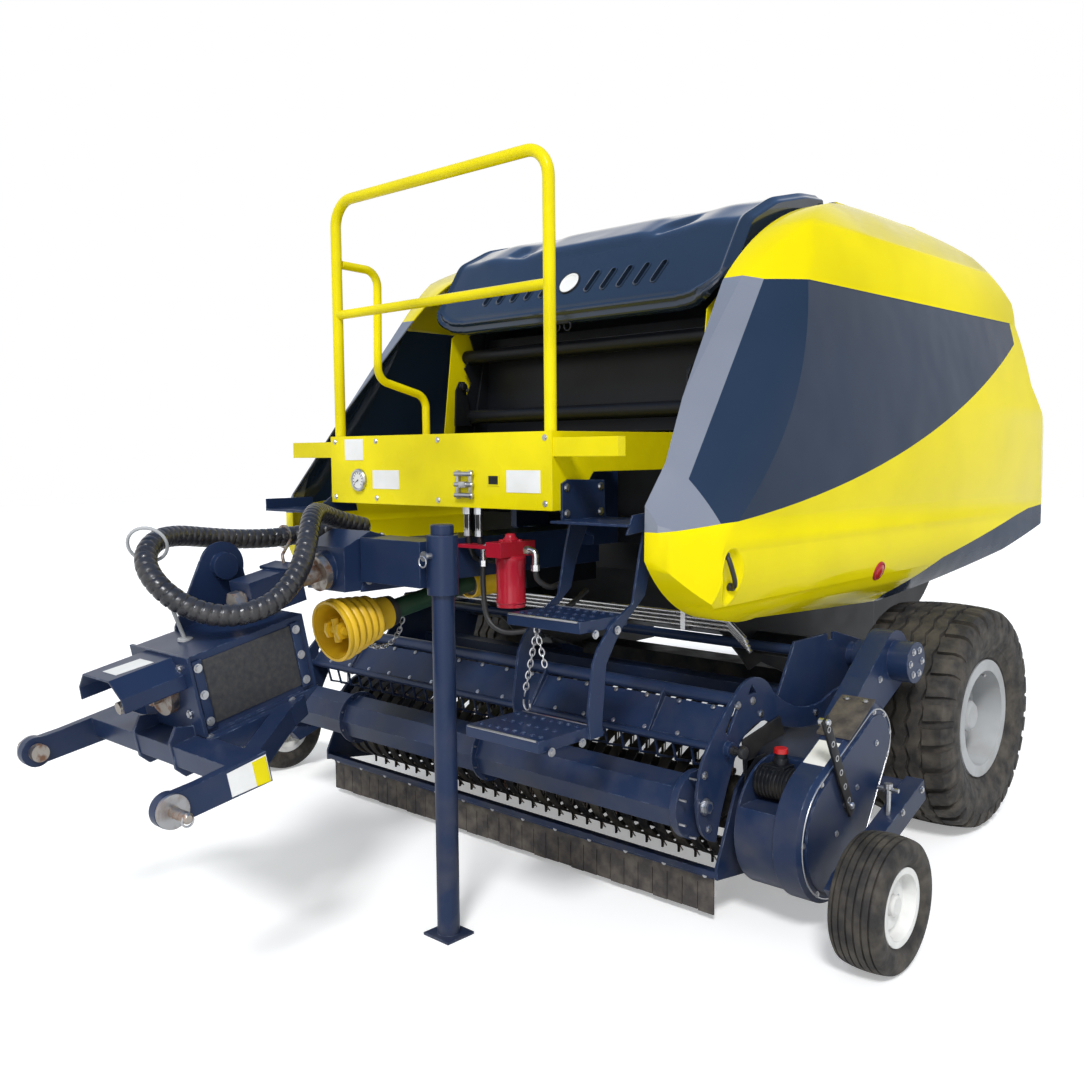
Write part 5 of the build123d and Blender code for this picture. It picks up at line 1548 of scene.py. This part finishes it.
profile = [(1082, 0), (1082, 44)]
for k in range(CLUTCH_RIBS):
    x = 1086 + 13 * k
    profile += [(x, 45), (x + 2, 53), (x + 7, 53), (x + 9, 45)]
profile += [(1206, 44), (1206, 0)]
bm = bmesh.new()
turn(bm, side(*CLUTCH, 0), LEFTWARD, profile, 40)
turn(bm, at(1140, CLUTCH[0] + 20, 500), UPWARD, NECK, 20)
finish_piece("clutch_ribs", bm, black_paint, "pickup")
bm = bmesh.new()
turn(bm, at(1140, CLUTCH[0] + 20, 543), UPWARD, CAP, 12)
finish_piece("filler_cap", bm, lamp_red, "pickup")
bm = bmesh.new()
for outline in SHIELDS:
    slab(bm, side, outline, 1060, 1066)
finish_piece("clutch_shield", bm, black_paint, "pickup", bevel=1.2)
print("clutch profile points", len(profile))

# %% Drilled lever
LEVER_FROM = Vector((-1328, 690))
LEVER_TO = Vector((-1150, 360))
LEVER_HALF = 19
HOLES = 6
HOLE_RIM = ((-8.5, 10), (0.6, 10), (0.6, 6.5), (-8.5, 6.5))
STUD = ((0, 0), (0, 11), (30, 11), (34, 8), (34, 0))

way = (LEVER_TO - LEVER_FROM).normalized()
over = Vector((-way.y, way.x)) * LEVER_HALF
bm = bmesh.new()
slab(bm, side, (LEVER_FROM + over, LEVER_FROM - over, LEVER_TO - over, LEVER_TO + over), 1316, 1324)
finish_piece("drilled_lever", bm, black_paint, "pickup", bevel=1.5)
bm = bmesh.new()
for k in range(HOLES):
    turn(bm, side(*(LEVER_FROM + way * (40 + 56 * k)), 1324), LEFTWARD, HOLE_RIM, 18, closed=True)
for place in (LEVER_FROM, Vector((-1172, 400))):
    turn(bm, side(*(place + way * 12), 1300), LEFTWARD, STUD, 16)
finish_piece("lever_studs", bm, zinc, "pickup")
print("lever holes", HOLES)

# %% [markdown]
# The crop guard's sheet is clipped to its tubes, and its arms carry a knob and nuts. The roller's pin ends
# in a stud and nut. Those small bright points are what the eye picks out against the navy.

# %% Crop guard fittings
GUARD_BOLTS = ((-1300, 700), (-1383, 700), (-1562, 520), (-1540, 350), (-1250, 650), (-900, 590))
KNOB_PROFILE = ((0, 0), (0, 14), (10, 14), (10, 9), (30, 9), (30, 19), (36, 21), (46, 19), (48, 0))
SHEET_OUT = Vector((0, -0.76, 0.65))

heads = [(at(s * 1055, u, v), outward(s)) for s in (1, -1) for u, v in GUARD_BOLTS]
bolts("guard_bolts", heads, 9, "crop_guard")
heads = []
for k in range(16):
    x = -975 + 130 * k
    heads += [(at(x, -1400, 686), SHEET_OUT), (at(x + 40, -1465, 600), SHEET_OUT)]
bolts("sheet_clips", heads, 5.5, "crop_guard")
bm = bmesh.new()
for s in (1, -1):
    turn(bm, at(s * 1073, -1441, 574), outward(s), KNOB_PROFILE, 20)
finish_piece("guard_knobs", bm, black_plastic, "crop_guard")

# %% Press roller fittings
ROLLER_AT = (-1562, 425)
WASHER = ((0, 12.4), (0, 26), (4, 26), (4, 12.4))
NUT = ((0, 12.4), (0, 20), (13, 20), (13, 12.4))
RIVET_ROWS = ((-1041, -14), (-618, -4), (147, -4), (1041, -14))      # place across, and the rivet's foot

bm = bmesh.new()
for s in (1, -1):
    turn(bm, side(*ROLLER_AT, s * 1056), outward(s), WASHER, 24, closed=True)
    turn(bm, side(*ROLLER_AT, s * 1060), outward(s), NUT, 6, closed=True)
finish_piece("roller_nuts", bm, zinc, "press_roller")
bm = bmesh.new()
for x, foot in RIVET_ROWS:
    for rivet in circle(side, ROLLER_AT, 96, x, 8, 0.5):
        turn(bm, rivet, LEFTWARD, ((foot, 4), (10, 4), (10, 0)), 8)
rivets = finish_piece("roller_rivets", bm, zinc, "press_roller")
print("rivet faces", len(rivets.data.polygons))

# %% [markdown]
# Between the stripper bands the reel's tines are sprung wire, bent back at the tip. One pair of tines is
# a smooth rod; the wheel tree sets four of them round the reel at every gap.

# %% Reel wires
REEL_HUB = (-1200, 320)
BANDS = 28
PITCH = 70.0
TINE_BARS = 4
WIRE = ((0, 88), (6, 120), (8, 165), (0, 200), (-16, 222))           # back and out from the hub
COIL_AT = Vector((-0.012, 0.006, 0.104))

tine = bmesh.new()
for w in (-6, 6):
    rod(tine, smooth_line([Vector((w, back, out)) / 1000 for back, out in WIRE], 3), 2.6, 6)
turn(tine, COIL_AT, LEFTWARD, ((0, 0), (0, 11), (24, 11), (24, 0)), 12)
tine_mesh = plain_mesh("tine_pair", tine)
bm = bmesh.new()
for k in range(BANDS - 1):
    hub = side(*REEL_HUB, (k + 1 - BANDS / 2) * PITCH)
    wires = repeated("wires", tine_mesh, wheel_tree, {"Count": TINE_BARS, "Hub": hub, "Finish": zinc})
    bm.from_mesh(wires)
    bpy.data.meshes.remove(wires)
reel_wires = finish_piece("reel_wires", bm, rusty_steel, "reel")
print("reel wires", len(reel_wires.data.polygons), "faces")

# %% [markdown]
# The apron under the reel is a strip of belting slit every 60 mm so that it parts round stones. Its
# outline is drawn once as a comb and pushed through its thickness.

# %% Slit apron
STRIPS = 33
STRIP_WIDTH = 60
APRON_X = 990
APRON_TOP = 155
APRON_LOW = 23
SLIT_TOP = 118
SLIT_HALF = 1.6

comb = [(-APRON_X, APRON_TOP), (-APRON_X, APRON_LOW)]
for k in range(1, STRIPS):
    x = STRIP_WIDTH * k - APRON_X
    uneven, next_uneven = 1.5 * (k % 3), 1.5 * ((k + 1) % 3)
    comb += [(x - SLIT_HALF, APRON_LOW + uneven), (x - SLIT_HALF, SLIT_TOP), (x + SLIT_HALF, SLIT_TOP),
             (x + SLIT_HALF, APRON_LOW + next_uneven)]
comb += [(APRON_X, APRON_LOW), (APRON_X, APRON_TOP)]
bm = bmesh.new()
slab(bm, front, comb, -1417, -1411)
flap = finish_piece("slit_apron", bm, flap_rubber, "pickup")
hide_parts("crop_flap")
bm = bmesh.new()
box(bm, front, (0, 147), (2 * APRON_X, 14), -1421, -1417)
finish_piece("apron_bar", bm, navy, "pickup", bevel=1)
heads = [(at(-960 + 160 * k, -1421, 147), FORWARD) for k in range(13)]
bolts("apron_bolts", heads, 6, "pickup")

# %% Arm and frame fittings
ARM_BOLTS = ((-700, 690), (-800, 620), (-880, 560))
GAUGE_ARM_BOLTS = ((-860, 385), (-1000, 345), (-1300, 235))
FRAME_BOLTS = ((-1110, 420), (-1290, 330), (-1150, 215), (-1040, 300))
PIN = ((0, 0), (0, 9), (96, 9), (96, 14), (112, 14), (114, 0))
CROSS_PIN = ((-34, 0), (-34, 7), (34, 7), (34, 0))

heads = [(place, LEFTWARD) for place in circle(side, (-580, 740), 46, 1265, 6)]
heads += [(side(u, v, 1190), LEFTWARD) for u, v in ARM_BOLTS]
bolts("arm_bolts", heads, 9, "pickup")
for name, s in SIDES:
    heads = [(side(u, v, s * 1416), outward(s)) for u, v in GAUGE_ARM_BOLTS]
    bolts("gauge_arm_bolts_" + name, heads, 8, "pickup")
    bm = bmesh.new()
    turn(bm, at(s * 1386, -1040, 330), UPWARD, PIN, 16)
    turn(bm, at(s * 1386, -1040, 424), LEFTWARD, CROSS_PIN, 12)
    finish_piece("gauge_arm_pin_" + name, bm, zinc, "pickup")
heads = [(side(u, v, s * 1032), outward(s)) for s in (1, -1) for u, v in FRAME_BOLTS]
bolts("frame_bolts", heads, 8, "pickup")

# %% [markdown]
# Inside the open front the yellow cheeks carry black cut plates and brackets. Only parts of them are seen
# past the rails, but they give the opening its depth.

# %% Cheek fittings
CHEEK_PLATE = ((-1000, 1560), (-990, 1700), (-936, 1716), (-900, 1790), (-940, 1850), (-880, 1930),
               (-905, 1990), (-850, 2040), (-790, 2050), (-700, 2050), (-700, 1560))
BRACKET = ((-1030, 1600), (-1022, 1752), (-1000, 1790), (-970, 1790), (-962, 1740), (-940, 1640),
           (-930, 1600))
BRACKET_PIN = ((-10, 0), (-10, 16), (8, 16), (10, 13), (10, 0))
CHEEK_BOLTS = ((-960, 1640), (-930, 1760), (-860, 1900), (-760, 2020), (-730, 1620))

for name, s in SIDES:
    bm = bmesh.new()
    slab(bm, side, CHEEK_PLATE, s * 634, s * 640)
    finish_piece("cheek_plate_" + name, bm, black_paint, "chassis", bevel=1)
    bm = bmesh.new()
    slab(bm, side, BRACKET, s * 600, s * 608)
    turn(bm, at(s * 594, -985, 1768), outward(-s), BRACKET_PIN, 20)
    finish_piece("cheek_bracket_" + name, bm, black_paint, "chassis", bevel=1)
heads = [(side(u, v, s * 634), outward(-s)) for s in (1, -1) for u, v in CHEEK_BOLTS]
bolts("cheek_bolts", heads, 8, "chassis")

# %% [markdown]
# At the back the tailgate gets two ribs a side with a row of bolts down each. They are set by rays cast
# onto its side walls, so that none of them floats.


# %% Rear fittings
def gate_side(s, y, z):
    """The tailgate's side wall at this place, found by casting a ray inwards."""
    return cast("tailgate", at(s * 1500, y, z), outward(-s))[0]


heads = []
for s in (1, -1):
    for y in (560, 930):
        for z in (1300, 1500, 1700, 1900, 2100):
            heads.append((gate_side(s, y, z) + outward(s) * 0.004, outward(s)))
bolts("tailgate_bolts", heads, 9, "tailgate")
bm = bmesh.new()
for s in (1, -1):
    wall_x = gate_side(s, 745, 1700).x * 1000
    for y in (547, 917):
        rib = ((y, 1250), (y + 26, 1250), (y + 26, 2150), (y, 2150))
        slab(bm, side, rib, wall_x - s * 2, wall_x + s * 4)
finish_piece("tailgate_ribs", bm, black_paint, "tailgate", bevel=1.5)

# %% [markdown]
# The floor is a plain pale sheet. To the camera it glows a little, so that it meets the white
# surroundings without a horizon and still keeps the machine's shadow.

# %% Floor
FLOOR_SIZE = 60.0
FLOOR_GLOW = 0.30

floor_material, floor_tree, floor_bsdf, _ = shader("floor")
seen_directly = add_node(floor_tree, "ShaderNodeLightPath").outputs["Is Camera Ray"]
coated(floor_tree, floor_bsdf, colour=(0.86, 0.86, 0.86, 1), rough=0.9, glow=(1, 1, 1, 1),
       glow_strength=arithmetic(floor_tree, "MULTIPLY", seen_directly, FLOOR_GLOW))
half = FLOOR_SIZE / 2
corners = [(-half, -half, 0), (half, -half, 0), (half, half, 0), (-half, half, 0)]
floor_mesh = bpy.data.meshes.new("floor")
floor_mesh.from_pydata(corners, [], [(0, 1, 2, 3)])
floor_mesh.materials.append(floor_material)
floor = bpy.data.objects.new("floor", floor_mesh)
bpy.context.scene.collection.objects.link(floor)
